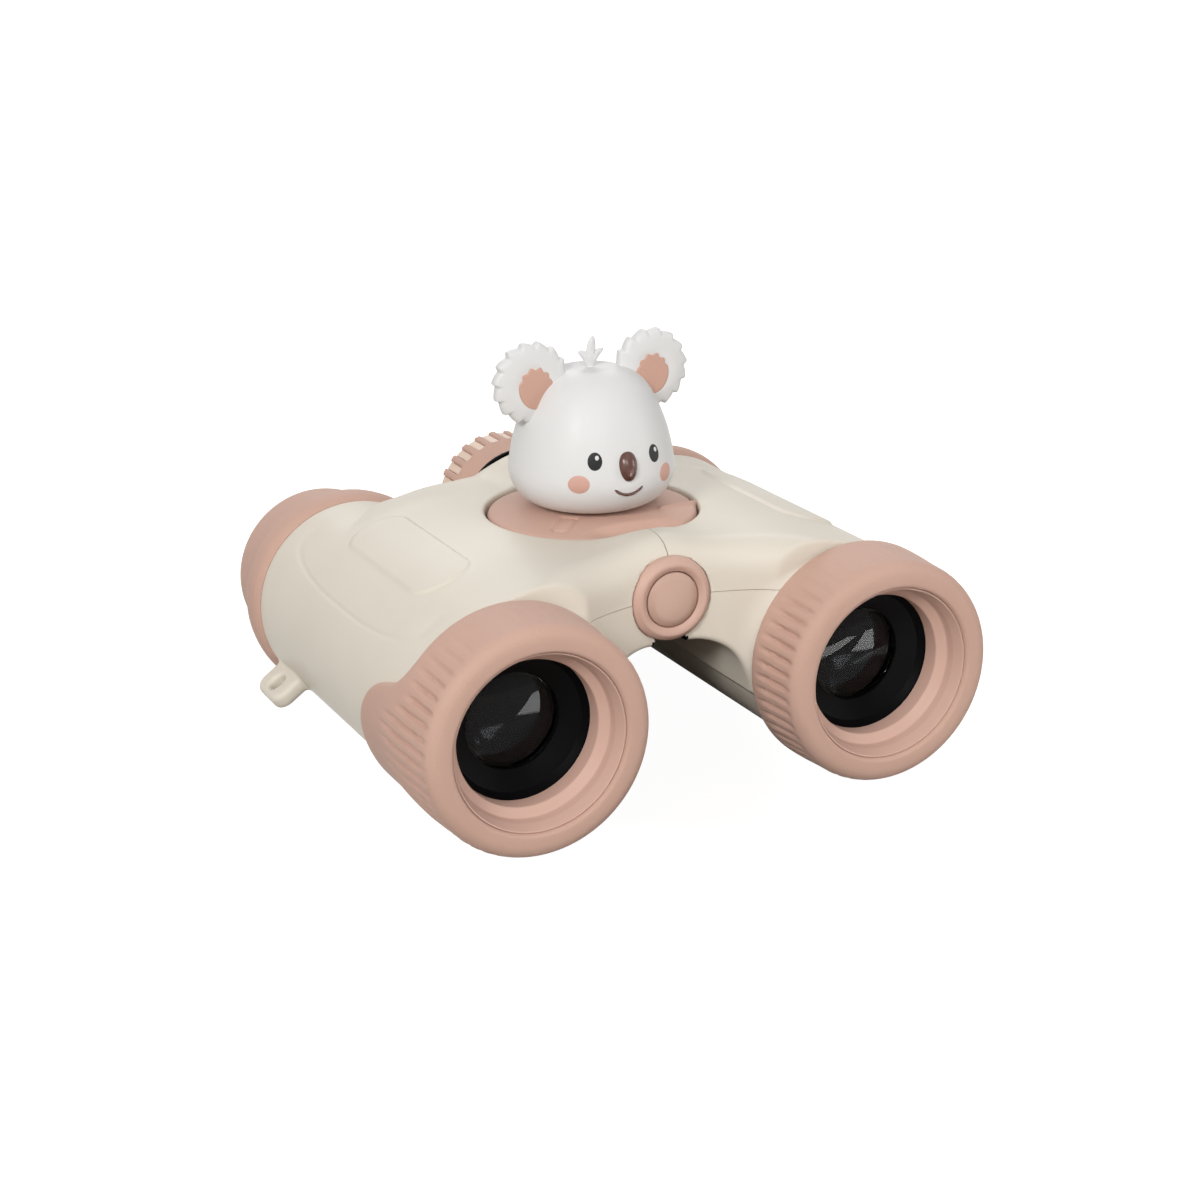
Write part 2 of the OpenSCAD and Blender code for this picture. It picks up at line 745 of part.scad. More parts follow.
// Lens with two convex faces
module objective_lens() {
  reach = sqrt(pow(lens_curve, 2) - pow(lens_clear_r, 2));
  barrel_rod(lens_r, lens_y, lens_y + lens_edge);
  intersection() {
    barrel_rod(lens_clear_r - 0.1, lens_y - lens_r, lens_y + lens_edge / 2);
    translate([half_spacing, lens_y + reach, 0]) rotate([-90, 0, 0]) sphere(lens_curve);
  }
}

// Ring that holds the lens in its cell
module lens_retainer() {
  about_barrel() box_2d(lens_r - retainer_wall, retainer_y, lens_r, retainer_y + retainer_len);
}

// Soft ring on the rear end of the barrel, with the eyepiece tube's guide
module eyepiece_ring() {
  ring_end = barrel_len + eye_ring_len;
  about_barrel() polygon([
    [tube_r + running_fit, barrel_len - guide_depth], [bore_r - seat_fit, barrel_len - guide_depth],
    [bore_r - seat_fit, barrel_len], [barrel_r + 0.2, barrel_len], [eye_ring_r - 0.3, barrel_len + 1.2],
    [eye_ring_r, ring_top_y], [eye_ring_r - 0.4, ring_end - 1.2], [eye_ring_r - 1.2, ring_end],
    [cup_r + 0.4, ring_end], [cup_r + 0.4, ring_top_y], [tube_r + running_fit, ring_top_y]
  ]);
}

// Sliding tube that carries the eye lens
module eyepiece_tube() {
  about_barrel() {
    box_2d(tube_bore_r, tube_front_y, tube_r, tube_rear_y);
    box_2d(tube_bore_r - eye_seat, eye_lens_y - eye_seat, tube_r, eye_lens_y);
  }
}

// Eye lens with a hollow rear face
module eye_lens() {
  difference() {
    barrel_rod(tube_bore_r - lens_fit, eye_lens_y + seat_fit, eye_lens_y + seat_fit + eye_lens_edge);
    translate([half_spacing, eye_lens_y + seat_fit + eye_lens_mid + lens_curve, 0]) sphere(lens_curve);
  }
}

// Rubber cup on the eyepiece tube
module eyecup() {
  lip = 1.3;
  rim = 1;
  about_barrel() {
    polygon([
      [tube_r + 0.02, cup_front], [cup_r - 0.4, cup_front], [cup_r, cup_front + 0.6],
      [cup_rim_r, cup_rear_y - rim], [cup_rim_r - rim, cup_rear_y], [cup_rim_r - 1.6, cup_rear_y],
      [cup_hole_r, tube_rear_y + lip], [cup_hole_r, tube_rear_y + seat_fit],
      [tube_r + 0.02, tube_rear_y + seat_fit]
    ]);
    translate([cup_rim_r - rim, cup_rear_y - rim]) circle(rim);
  }
}

// Arm from the focus nut to the eyepiece tube, with its fork and clamp band
module focus_arm() {
  difference() {
    union() {
      translate([fork_inner, nut_y - fork_t / 2, hinge_rise - fork_half]) {
        cube([fork_reach - fork_inner, fork_t, fork_half + 2.5]);
      }
      translate([fork_reach - 1, nut_y - fork_t / 2, arm_low]) {
        cube([half_spacing - fork_reach - 4, fork_t, arm_high - arm_low]);
      }
      barrel_rod(tube_r + band_t, nut_y - fork_t, nut_y + fork_t);
    }
    hinge_rod(groove_floor_r + fork_play, 0, barrel_len);
    barrel_rod(tube_r + 0.02, 0, barrel_len);
  }
}

// Front pin of the hinge
module front_pin() {
  hinge_rod(pin_r, front_knuckle_y, pin_head_y + pin_head_t);
  hinge_rod(pin_r + pin_head_w, pin_head_y, pin_head_y + pin_head_t);
}

// Hollow rear pin that the focus shaft turns in
module rear_bush() {
  about_hinge() box_2d(shaft_r + running_fit, flange_back + seat_fit, bush_r, bridge_rear);
}

// Round cap on the front of the hinge
module cap_ring() {
  about_hinge() polygon([
    [cap_plug_r + seat_fit, cap_front - cap_crown], [cap_plug_r + 0.9, cap_front - cap_crown],
    [cap_r - 0.3, cap_front - 0.2], [cap_r, cap_front + 0.3], [cap_r, cap_rear],
    [cap_plug_r + seat_fit, cap_rear]
  ]);
}

// Plug in the middle of the hinge cap
module cap_plug() {
  about_hinge() polygon([
    [0, cap_front - cap_crown], [cap_plug_r - 0.4, cap_front - cap_crown + 0.1],
    [cap_plug_r, cap_front - cap_crown + 0.5], [cap_plug_r, cap_rear], [0, cap_rear]
  ]);
}

// Hub of the focus wheel, with a raised pad between each two fingers
module wheel_hub() {
  pad_r = (hub_r + wheel_r) / 2;
  difference() {
    union() {
      hinge_rod(hub_r, wheel_front + 0.6, wheel_back);
      difference() {
        hinge_rod(pad_r, wheel_front + band_len, wheel_back - 0.6);
        for (k = [0 : finger_count - 1]) finger(k, finger_w + 0.1);
      }
      hinge_rod(hub_r - 4, wheel_back - 0.1, wheel_back + 1);
    }
    hinge_rod(shaft_r, 0, wheel_back);
  }
}

// Room that one finger takes on the wheel
module finger(k, w) {
  translate([0, 0, hinge_rise]) rotate([0, k * 360 / finger_count, 0]) {
    translate([hub_r - 1, wheel_front + band_len - 0.1, -w / 2]) cube([wheel_r, wheel_len, w]);
  }
}

// Soft tyre of the focus wheel: a plain band and fingers that run back over the hub
module wheel_tyre() {
  difference() {
    union() {
      about_hinge() polygon([
        [hub_r - 0.2, wheel_front], [hub_r + 0.2, wheel_front], [wheel_r - 0.3, wheel_front + 1.4],
        [wheel_r, wheel_front + band_len], [hub_r - 0.2, wheel_front + band_len]
      ]);
      intersection() {
        hinge_rod(wheel_r, wheel_front + band_len - 0.2, wheel_back - 0.4);
        for (k = [0 : finger_count - 1]) finger(k, finger_w);
      }
    }
    hinge_rod(hub_r + seat_fit / 2, wheel_front + 0.6 - seat_fit, wheel_back + 1);
    hinge_rod(hub_r - 1, 0, wheel_back + 1);
  }
}

// Shaft of the focus wheel, with the flange that keeps it in the bush
module wheel_shaft() {
  hinge_rod(shaft_r, shaft_front, wheel_back);
  hinge_rod(shaft_r + flange_w, flange_y, flange_back);
}

// Nut that the shaft moves, with the groove for the two forks
module spool_nut() {
  about_hinge() difference() {
    box_2d(shaft_r + running_fit, nut_y - nut_len / 2, nut_r, nut_y + nut_len / 2);
    box_2d(groove_floor_r, nut_y - fork_t / 2 - fork_play, far, nut_y + fork_t / 2 + fork_play);
  }
}

// Domed collar in the well
module collar() {
  difference() {
    about_head() polygon([
      [neck_r + running_fit, collar_seat], [collar_r, collar_seat], [collar_r, bridge_top - 0.9],
      [collar_r - 0.7, bridge_top - 0.2], [low_x + 3, collar_top - 0.25], [low_x, collar_top],
      [neck_r + running_fit, collar_top]
    ]);
    on_side(left) at_collar_screws() translate([0, 0, collar_seat - 1]) cylinder(r = screw_r, h = 2.6);
  }
}

// Screws that hold the collar on its ledge
module ledge_screws() {
  on_side(left) at_collar_screws() {
    translate([0, 0, collar_seat - ledge_t]) cylinder(r = screw_r, h = ledge_t + 1.5);
    translate([0, 0, collar_seat - ledge_t - screw_head_h]) {
      cylinder(r = screw_head_r - 0.3, h = screw_head_h);
    }
  }
}

// Outline of the head in radius and height, drawn in by a wall
module head_2d(inset) {
  low_round = head_low_round - inset;
  top_round = head_top_round - inset;
  side_round = head_side_round - inset;
  intersection() {
    union() {
      translate([low_x, low_z]) circle(low_round);
      translate([top_x, top_z]) circle(top_round);
      intersection() {
        translate(side_mid) circle(side_round, $fn = 240);
        polygon([side_mid, side_mid + 4 * (low_mid - side_mid), side_mid + 4 * (top_mid - side_mid)]);
      }
      polygon([
        [0, low_z - low_round], [low_x, low_z - low_round], low_mid, top_mid,
        [top_x, top_z + top_round], [0, top_z + top_round]
      ]);
    }
    box_2d(0, 0, far, far);
  }
}

// Hollow shell of the head, open below for its base
module head_skin() {
  difference() {
    about_head() head_2d(0);
    about_head() head_2d(head_wall);
    translate([0, well_y, 0]) cylinder(r = base_r + seat_fit, h = low_z);
  }
}

// Base of the head with the neck that turns in the collar
module neck_base() {
  difference() {
    union() {
      translate([0, well_y, head_low]) cylinder(r = base_r, h = base_t);
      translate([0, well_y, washer_top]) cylinder(r = neck_r, h = head_low - washer_top + 0.1);
    }
    translate([0, well_y, 0]) cylinder(r = screw_r, h = head_low);
  }
}

// Washer under the collar that keeps the head in place
module under_washer() {
  translate([0, well_y, washer_top - washer_t]) difference() {
    cylinder(r = washer_r, h = washer_t);
    translate([0, 0, -1]) cylinder(r = screw_r, h = washer_t + 2);
  }
}

// Screw through the washer into the neck
module under_screw() {
  translate([0, well_y, washer_top - washer_t - screw_head_h]) {
    cylinder(r = screw_head_r + 0.7, h = screw_head_h);
    cylinder(r = screw_r, h = head_low - washer_top + washer_t + screw_head_h);
  }
}

// Scalloped outline of an ear, in x and z
module ear_2d() {
  translate([ear_x, ear_z]) {
    circle(ear_r);
    for (k = [0 : scallop_count - 1]) {
      rotate(k * 360 / scallop_count) translate([ear_r - 0.5, 0]) circle(scallop_r);
    }
  }
}

// Ear, cut to sit on the head
module ear() {
  difference() {
    along_y(well_y - ear_t / 2, well_y + ear_t / 2) ear_2d();
    about_head() head_2d(0);
  }
}

// Raised pad in the front of an ear
module ear_pad() {
  front = well_y - ear_t / 2;
  difference() {
    along_y(front - ear_pad_t, front) translate([ear_x + 0.3, ear_z]) circle(ear_pad_r);
    about_head() head_2d(0);
  }
}

// Oval nose on the front of the head
module snout() {
  half = nose_h / 2 - nose_r;
  difference() {
    translate([0, well_y - head_r + 0.5, nose_z]) {
      for (z = [-half, half]) translate([0, 0, z]) sphere(nose_r);
      translate([0, 0, -half]) cylinder(r = nose_r, h = 2 * half);
    }
    about_head() head_2d(0);
  }
}

// Tuft of hair on top of the head
module tuft() {
  difference() {
    for (lean = [-24, 4, 30]) {
      translate([0, well_y, head_top - 0.6]) rotate([0, lean, 0]) {
        cylinder(r1 = 0.9, r2 = 0.35, h = tuft_h + 0.6 - abs(lean) / 14);
      }
    }
    about_head() head_2d(0);
  }
}

module left_body() { color(shell_colour) place() on_side(left) body_half(left); }
module right_body() { color(shell_colour) place() on_side(right) body_half(right); }
module left_lower_cover() { color(shell_colour) place() on_side(left) lower_cover(left); }
module right_lower_cover() { color(shell_colour) place() on_side(right) lower_cover(right); }
module left_cover_screws() { color(steel_colour) place() on_side(left) cover_screws(); }
module right_cover_screws() { color(steel_colour) place() on_side(right) cover_screws(); }
module left_grip_ring() { color(soft_colour) place() on_side(left) grip_ring(); }
module right_grip_ring() { color(soft_colour) place() on_side(right) grip_ring(); }
module left_hood_ring() { color(soft_colour) place() on_side(left) hood_ring(); }
module right_hood_ring() { color(soft_colour) place() on_side(right) hood_ring(); }
module left_objective_cell() { color(black_colour) place() on_side(left) objective_cell(); }
module right_objective_cell() { color(black_colour) place() on_side(right) objective_cell(); }
module left_objective_lens() { color(glass_colour) place() on_side(left) objective_lens(); }
module right_objective_lens() { color(glass_colour) place() on_side(right) objective_lens(); }
module left_lens_retainer() { color(black_colour) place() on_side(left) lens_retainer(); }
module right_lens_retainer() { color(black_colour) place() on_side(right) lens_retainer(); }
module left_eyepiece_ring() { color(soft_colour) place() on_side(left) eyepiece_ring(); }
module right_eyepiece_ring() { color(soft_colour) place() on_side(right) eyepiece_ring(); }
module left_eyepiece_tube() { color(black_colour) place() on_side(left) eyepiece_tube(); }
module right_eyepiece_tube() { color(black_colour) place() on_side(right) eyepiece_tube(); }
module left_eye_lens() { color(glass_colour) place() on_side(left) eye_lens(); }
module right_eye_lens() { color(glass_colour) place() on_side(right) eye_lens(); }
module left_eyecup() { color(soft_colour) place() on_side(left) eyecup(); }
module right_eyecup() { color(soft_colour) place() on_side(right) eyecup(); }
module left_focus_arm() { color(black_colour) place() on_side(left) focus_arm(); }
module right_focus_arm() { color(black_colour) place() on_side(right) focus_arm(); }
module hinge_pin() { color(steel_colour) place() front_pin(); }
module hinge_bush() { color(steel_colour) place() rear_bush(); }
module hinge_cap_ring() { color(soft_colour) place() cap_ring(); }
module hinge_cap_plug() { color(soft_colour) place() cap_plug(); }
module focus_hub() { color(shell_colour) place() wheel_hub(); }
module focus_tyre() { color(soft_colour) place() wheel_tyre(); }
module focus_shaft() { color(steel_colour) place() wheel_shaft(); }
module focus_nut() { color(black_colour) place() spool_nut(); }
module head_collar() { color(soft_colour) place() collar(); }
module collar_screws() { color(steel_colour) place() ledge_screws(); }
module head_shell() { color(head_colour) place() head_skin(); }
module head_base() { color(head_colour) place() neck_base(); }
module neck_washer() { color(steel_colour) place() under_washer(); }
module neck_screw() { color(steel_colour) place() under_screw(); }
module left_ear() { color(head_colour) place() on_side(left) ear(); }
module right_ear() { color(head_colour) place() on_side(right) ear(); }
module left_ear_pad() { color(soft_colour) place() on_side(left) ear_pad(); }
module right_ear_pad() { color(soft_colour) place() on_side(right) ear_pad(); }
module nose() { color(nose_colour) place() snout(); }
module hair_tuft() { color(head_colour) place() tuft(); }

left_body();
right_body();
left_lower_cover();
right_lower_cover();
left_cover_screws();
right_cover_screws();
left_grip_ring();
right_grip_ring();
left_hood_ring();
right_hood_ring();
left_objective_cell();
right_objective_cell();
left_objective_lens();
right_objective_lens();
left_lens_retainer();
right_lens_retainer();
left_eyepiece_ring();
right_eyepiece_ring();
left_eyepiece_tube();
right_eyepiece_tube();
left_eye_lens();
right_eye_lens();
left_eyecup();
right_eyecup();
left_focus_arm();
right_focus_arm();
hinge_pin();
hinge_bush();
hinge_cap_ring();
hinge_cap_plug();
focus_hub();
focus_tyre();
focus_shaft();
focus_nut();
head_collar();
collar_screws();
head_shell();
head_base();
neck_washer();
neck_screw();
left_ear();
right_ear();
left_ear_pad();
right_ear_pad();
nose();
hair_tuft();
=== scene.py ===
"""Folding toy binoculars with a koala head on the bridge: the looks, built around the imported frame.

Shapes are drawn in millimetres in a drawing frame: x = 0 is the middle of the bridge, y = 0 the plane of
the objective openings and z = 0 the height of the barrel axes. Each half is drawn on the +X side.
"""

import json
import logging
import math
from dataclasses import dataclass, field
from enum import Enum
from typing import Callable, Sequence

import bpy
import numpy as np
from mathutils import Matrix, Vector


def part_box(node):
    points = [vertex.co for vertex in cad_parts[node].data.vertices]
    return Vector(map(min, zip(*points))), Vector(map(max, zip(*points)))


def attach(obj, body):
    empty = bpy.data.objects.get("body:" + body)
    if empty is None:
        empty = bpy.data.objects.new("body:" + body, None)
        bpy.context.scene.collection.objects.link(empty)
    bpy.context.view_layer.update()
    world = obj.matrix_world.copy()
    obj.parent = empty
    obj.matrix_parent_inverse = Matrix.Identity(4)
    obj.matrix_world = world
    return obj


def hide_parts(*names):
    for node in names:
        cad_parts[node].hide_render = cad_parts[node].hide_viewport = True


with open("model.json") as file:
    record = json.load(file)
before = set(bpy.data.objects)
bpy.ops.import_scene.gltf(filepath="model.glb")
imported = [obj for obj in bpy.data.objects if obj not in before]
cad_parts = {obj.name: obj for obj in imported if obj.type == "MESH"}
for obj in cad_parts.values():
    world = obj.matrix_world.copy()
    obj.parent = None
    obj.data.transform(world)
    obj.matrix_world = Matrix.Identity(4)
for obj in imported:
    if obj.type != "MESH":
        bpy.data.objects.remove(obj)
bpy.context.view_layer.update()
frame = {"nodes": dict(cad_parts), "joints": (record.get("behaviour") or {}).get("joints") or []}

LOG = logging.getLogger("toy_binoculars")
MM = 0.001
TAU = 2 * math.pi
Array = np.ndarray
Field = Callable[[Array, Array, Array], Array]
Point = tuple[float, float]
Tone = tuple[float, float, float]
Shape = tuple[Array, list[list[int]]]
Tree = bpy.types.NodeTree
Socket = bpy.types.NodeSocket
TINY = 1e-6


class Side(Enum):
    """Which half a piece belongs to, with the sign of its x."""

    LEFT = -1
    RIGHT = 1

    @property
    def word(self) -> str:
        """Name of the side as the frame's nodes spell it."""
        return self.name.lower()

    @property
    def half(self) -> str:
        """Name of the body that this half moves with."""
        return f"{self.word}_half"

    @property
    def eyepiece(self) -> str:
        """Name of the body of this side's sliding eyepiece."""
        return f"{self.word}_eyepiece"


class Slot(Enum):
    """Material slots of the record."""

    SHELL = "shell"
    SOFT = "soft_grip"
    BLACK = "black_plastic"
    GLASS = "lens_glass"
    STEEL = "steel"
    HEAD = "head_white"
    EAR = "ear_pink"
    NOSE = "nose_brown"


@dataclass(frozen=True)
class Datum:
    """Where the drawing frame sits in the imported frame, read from the nodes and joints."""

    half_spacing: float
    hinge_rise: float
    head_y: float
    barrel_end: float
    origin: tuple[float, float, float]

    @classmethod
    def from_frame(cls) -> "Datum":
        """Reads the axes from the frame.

        Returns:
            The datum of this part.
        """
        low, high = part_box("right_hood_ring")
        joints = {joint["name"]: joint for joint in frame["joints"]}
        axis_z = (low.z + high.z) / 2
        return cls(
            half_spacing=(low.x + high.x) / 2 / MM,
            hinge_rise=(joints["fold_hinge"]["pos_m"][2] - axis_z) / MM,
            head_y=(joints["head_turn"]["pos_m"][1] - low.y) / MM,
            barrel_end=(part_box("right_body")[1].y - low.y) / MM,
            origin=(0.0, low.y, axis_z),
        )

    def place(self, points: Array) -> Array:
        """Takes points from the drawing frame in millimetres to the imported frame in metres."""
        return np.asarray(points, float) * MM + np.array(self.origin)


DATUM = Datum.from_frame()


def smooth_min(a: Array, b: Array, k: float | Array) -> Array:
    """Union of two fields with a fillet of about size k."""
    h = np.clip(0.5 + 0.5 * (b - a) / k, 0.0, 1.0)
    return b * (1 - h) + a * h - k * h * (1 - h)


def smooth_max(a: Array, b: Array, k: float | Array) -> Array:
    """Intersection of two fields with an edge rounded by about size k."""
    return -smooth_min(-a, -b, k)


def ease(low: float, high: float, value: Array) -> Array:
    """Smooth step from 0 at low to 1 at high; low may be above high."""
    t = np.clip((value - low) / (high - low), 0.0, 1.0)
    return t * t * (3 - 2 * t)


def wrapped(angle: Array) -> Array:
    """Brings angles in degrees between -180 and 180."""
    return (angle + 180) % 360 - 180


def round_box(x: Array, y: Array, half: Point, radius: float) -> Array:
    """Distance to a flat rectangle with round corners, centred on the origin.

    Args:
        x: Place along its width.
        y: Place along its length.
        half: Half its width and half its length.
        radius: Size of its corners.

    Returns:
        Signed distance, below zero inside.
    """
    qx = np.abs(x) - half[0] + radius
    qy = np.abs(y) - half[1] + radius
    outside = np.hypot(np.maximum(qx, 0), np.maximum(qy, 0))
    return outside + np.minimum(np.maximum(qx, qy), 0) - radius


def contour(fields: Sequence[Field], low: Sequence[float], high: Sequence[float],
            step: float) -> Shape:
    """Meshes the solid where every field is negative, with crisp edges where two fields meet.

    Args:
        fields: Smooth fields, combined by their largest value.
        low: Lowest corner of the room searched.
        high: Highest corner of the room searched.
        step: Size of a cell.

    Returns:
        Points and four-sided faces.
    """
    axes = [np.arange(low[i], high[i] + step, step) for i in range(3)]
    grid = np.meshgrid(*axes, indexing="ij", sparse=True)
    shape = tuple(len(axis) for axis in axes)
    layers = [np.broadcast_to(f(*grid), shape) for f in fields]
    values = np.max(layers, axis=0)
    inside = values < 0
    counts = np.zeros(tuple(n - 1 for n in shape), np.int8)
    corners = [(i, j, k) for i in (0, 1) for j in (0, 1) for k in (0, 1)]
    for i, j, k in corners:
        counts += inside[i:shape[0] - 1 + i, j:shape[1] - 1 + j, k:shape[2] - 1 + k]
    cells = np.argwhere((counts > 0) & (counts < 8))
    number = np.full(counts.shape, -1)
    number[tuple(cells.T)] = np.arange(len(cells))

    at_corner = np.stack([values[tuple((cells + c).T)] for c in corners], axis=1)
    points = np.zeros((len(cells), 3))
    hits = np.zeros(len(cells))
    for a, first in enumerate(corners):
        for b, second in enumerate(corners):
            if b <= a or sum(abs(p - q) for p, q in zip(first, second)) != 1:
                continue
            v0, v1 = at_corner[:, a], at_corner[:, b]
            cross = (v0 < 0) != (v1 < 0)
            t = np.where(cross, v0 / np.where(cross, v0 - v1, 1), 0)[:, None]
            where = np.array(first) + t * (np.array(second) - np.array(first))
            points += np.where(cross[:, None], where, 0)
            hits += cross
    points = np.array(low) + (cells + points / hits[:, None]) * step

    active = []
    for layer in layers:
        seen = np.stack([layer[tuple((cells + c).T)] for c in corners], axis=1)
        active.append((seen.min(1) < 0) & (seen.max(1) > 0))
    points = settle(points, fields, active, step)

    faces = []
    for axis in range(3):
        before = np.take(inside, range(shape[axis] - 1), axis)
        after = np.take(inside, range(1, shape[axis]), axis)
        b, c = (axis + 1) % 3, (axis + 2) % 3
        edges = np.argwhere(before != after)
        room = np.array([n - 1 for n in shape])
        keep = (edges[:, b] > 0) & (edges[:, c] > 0) & (edges[:, b] < room[b]) & (edges[:, c] < room[c])
        edges = edges[keep]
        ring = []
        for db, dc in ((-1, -1), (0, -1), (0, 0), (-1, 0)):
            cell = edges.copy()
            cell[:, b] += db
            cell[:, c] += dc
            ring.append(number[tuple(cell.T)])
        quads = np.stack(ring, axis=1)
        outward = before[tuple(edges.T)]
        faces.append(np.where(outward[:, None], quads, quads[:, ::-1]))
    return points, np.concatenate(faces).tolist()


def settle(points: Array, fields: Sequence[Field], active: Sequence[Array], step: float) -> Array:
    """Draws the points of a rough mesh onto the surfaces that cross their cells.

    Args:
        points: Points near the surface.
        fields: The fields that bound the solid.
        active: For each field, which points lie in a cell that its surface crosses.
        step: Size of a cell, which limits a single move.

    Returns:
        The moved points.
    """
    nudge, rounds = 0.004, 5
    flattest, longest = 0.05, 0.6 * step
    for _ in range(rounds):
        for f, mask in zip(fields, active):
            if not mask.any():
                continue
            p = points[mask]
            value = f(*p.T)
            slope = np.stack([
                f(*(p + nudge * axis).T) - f(*(p - nudge * axis).T) for axis in np.eye(3)
            ], axis=1) / (2 * nudge)
            size = np.maximum((slope ** 2).sum(1), flattest)
            move = slope * (value / size)[:, None]
            length = np.linalg.norm(move, axis=1, keepdims=True)
            points[mask] = p - move * np.minimum(1, longest / np.maximum(length, TINY))
    return points


def arc(centre: Point, radius: float, start: float, end: float, steps: int = 12) -> list[Point]:
    """Points along an arc, with its angles in degrees."""
    angles = np.radians(np.linspace(start, end, steps + 1))
    return [(centre[0] + radius * math.cos(a), centre[1] + radius * math.sin(a)) for a in angles]


def fillet(corners: Sequence[tuple[float, float, float]], steps: int = 5) -> list[Point]:
    """Rounds the corners of a closed profile.

    Args:
        corners: Radius from the axis, place along it and the size of the rounding, for each corner.
        steps: Points along each rounding.

    Returns:
        The profile's points.
    """
    made: list[Point] = []
    count = len(corners)
    most = 0.48
    for i, (r, y, size) in enumerate(corners):
        here = np.array([r, y])
        if size <= 0:
            made.append((r, y))
            continue
        before = np.array(corners[i - 1][:2]) - here
        after = np.array(corners[(i + 1) % count][:2]) - here
        reach = min(size, most * np.linalg.norm(before), most * np.linalg.norm(after))
        start = here + before / np.linalg.norm(before) * reach
        end = here + after / np.linalg.norm(after) * reach
        for t in np.linspace(0, 1, steps + 1):
            p = start * (1 - t) ** 2 + here * 2 * t * (1 - t) + end * t ** 2
            made.append((float(p[0]), float(p[1])))
    return made


def lattice(rows: int, columns: int, closed: bool = True) -> list[list[int]]:
    """Four-sided faces of a grid of points whose rows close on themselves.

    Args:
        rows: Number of rows.
        columns: Points in each row.
        closed: Whether the last row joins the first.

    Returns:
        The faces.
    """
    faces = []
    for i in range(rows if closed else rows - 1):
        here, there = i * columns, (i + 1) % rows * columns
        for j in range(columns):
            k = (j + 1) % columns
            faces.append([here + j, here + k, there + k, there + j])
    return faces


def rod(points: Sequence[Sequence[float]], rows: int, sides: int) -> Shape:
    """Closes a row of rings to a solid with flat ends.

    Args:
        points: Points of the rings, one ring after the other.
        rows: Number of rings.
        sides: Points in each ring.

    Returns:
        Points and faces.
    """
    last = (rows - 1) * sides
    ends = [list(range(sides))[::-1], list(range(last, last + sides))]
    return np.array(points), lattice(rows, sides, closed=False) + ends


def joined(shapes: Sequence[Shape]) -> Shape:
    """Puts several shapes together as one.

    Args:
        shapes: Points and faces of each shape.

    Returns:
        Points and faces of them all.
    """
    faces: list[list[int]] = []
    offset = 0
    for points, quads in shapes:
        faces += [[i + offset for i in quad] for quad in quads]
        offset += len(points)
    return np.concatenate([points for points, _ in shapes]), faces


def revolve(profile: Sequence[Point], centre: Point, segments: int = 128,
            upright: bool = False) -> Shape:
    """Turns a closed profile about an axis.

    Args:
        profile: Points of radius and place along the axis.
        centre: x and z of an axis along y, or x and y of an upright axis.
        segments: Number of steps round the axis.
        upright: Whether the axis stands up.

    Returns:
        Points and faces.
    """
    angles = np.arange(segments) * TAU / segments
    r = np.array([max(p[0], 0.0) for p in profile])
    along = np.array([p[1] for p in profile])
    first = centre[0] + np.outer(np.cos(angles), r)
    second = centre[1] + np.outer(np.sin(angles), r)
    third = np.broadcast_to(along, first.shape)
    stack = (first, second, third) if upright else (first, third, second)
    points = np.stack(stack, axis=-1).reshape(-1, 3)
    count = len(profile)
    on_axis = r <= TINY
    faces = [f for f in lattice(segments, count) if not (on_axis[f[0] % count] and on_axis[f[1] % count])]
    return points, faces


@dataclass(frozen=True)
class Finish:
    """A moulded surface: two close tones, a fine grain and slow changes of gloss."""

    name: str
    slot: Slot
    tone: Tone
    deep: Tone
    rough: Point = (0.4, 0.5)
    grain_size: float = 0.12
    grain_height: float = 0.0
    speck: float = 0.0
    flow_size: float = 14.0
    metallic: float = 0.0
    coat: float = 0.0
    coat_rough: float = 0.2
    sheen: float = 0.0
    transmission: float = 0.0
    ior: float = 1.48
    specular: float = 0.5

    def material(self) -> bpy.types.Material:
        """Builds the material, or finds it if it is already there.

        Returns:
            The material.
        """
        found = bpy.data.materials.get(self.name)
        if found:
            return found
        material = bpy.data.materials.new(self.name)
        material.use_nodes = True
        tree = material.node_tree
        shader = tree.nodes["Principled BSDF"]
        plain = {
            "Metallic": self.metallic, "IOR": self.ior, "Specular IOR Level": self.specular,
            "Coat Weight": self.coat, "Coat Roughness": self.coat_rough, "Sheen Weight": self.sheen,
            "Transmission Weight": self.transmission,
        }
        for word, value in plain.items():
            shader.inputs[word].default_value = value
        place = tree.nodes.new("ShaderNodeTexCoord")
        flow = add_group(tree, mould_flow(), {"Size": self.flow_size * MM})
        grain = add_group(tree, fine_grain(), {"Size": self.grain_size * MM, "Speck": self.speck})
        for group in (flow, grain):
            tree.links.new(place.outputs["Object"], group.inputs["Vector"])
        share = maths(tree, "MULTIPLY", flow.outputs["Tone"], grain.outputs["Tone"])
        tree.links.new(tinted(tree, share, self.deep, self.tone), shader.inputs["Base Color"])
        gloss = ranged(tree, flow.outputs["Gloss"], (0.0, 1.0), (self.rough[1], self.rough[0]))
        tree.links.new(gloss, shader.inputs["Roughness"])
        if self.grain_height > 0:
            bump = tree.nodes.new("ShaderNodeBump")
            bump.inputs["Strength"].default_value = 1.0
            bump.inputs["Distance"].default_value = self.grain_height * MM
            tree.links.new(grain.outputs["Height"], bump.inputs["Height"])
            tree.links.new(bump.outputs["Normal"], shader.inputs["Normal"])
        return material


def linear(colour: Sequence[float]) -> tuple[float, float, float, float]:
    """Takes a display colour from 0 to 255 to the linear values that a socket holds.

    Args:
        colour: Red, green and blue.

    Returns:
        The linear colour, opaque.
    """
    parts = [c / 255 for c in colour]
    made = [c / 12.92 if c <= 0.04045 else ((c + 0.055) / 1.055) ** 2.4 for c in parts]
    return (made[0], made[1], made[2], 1.0)


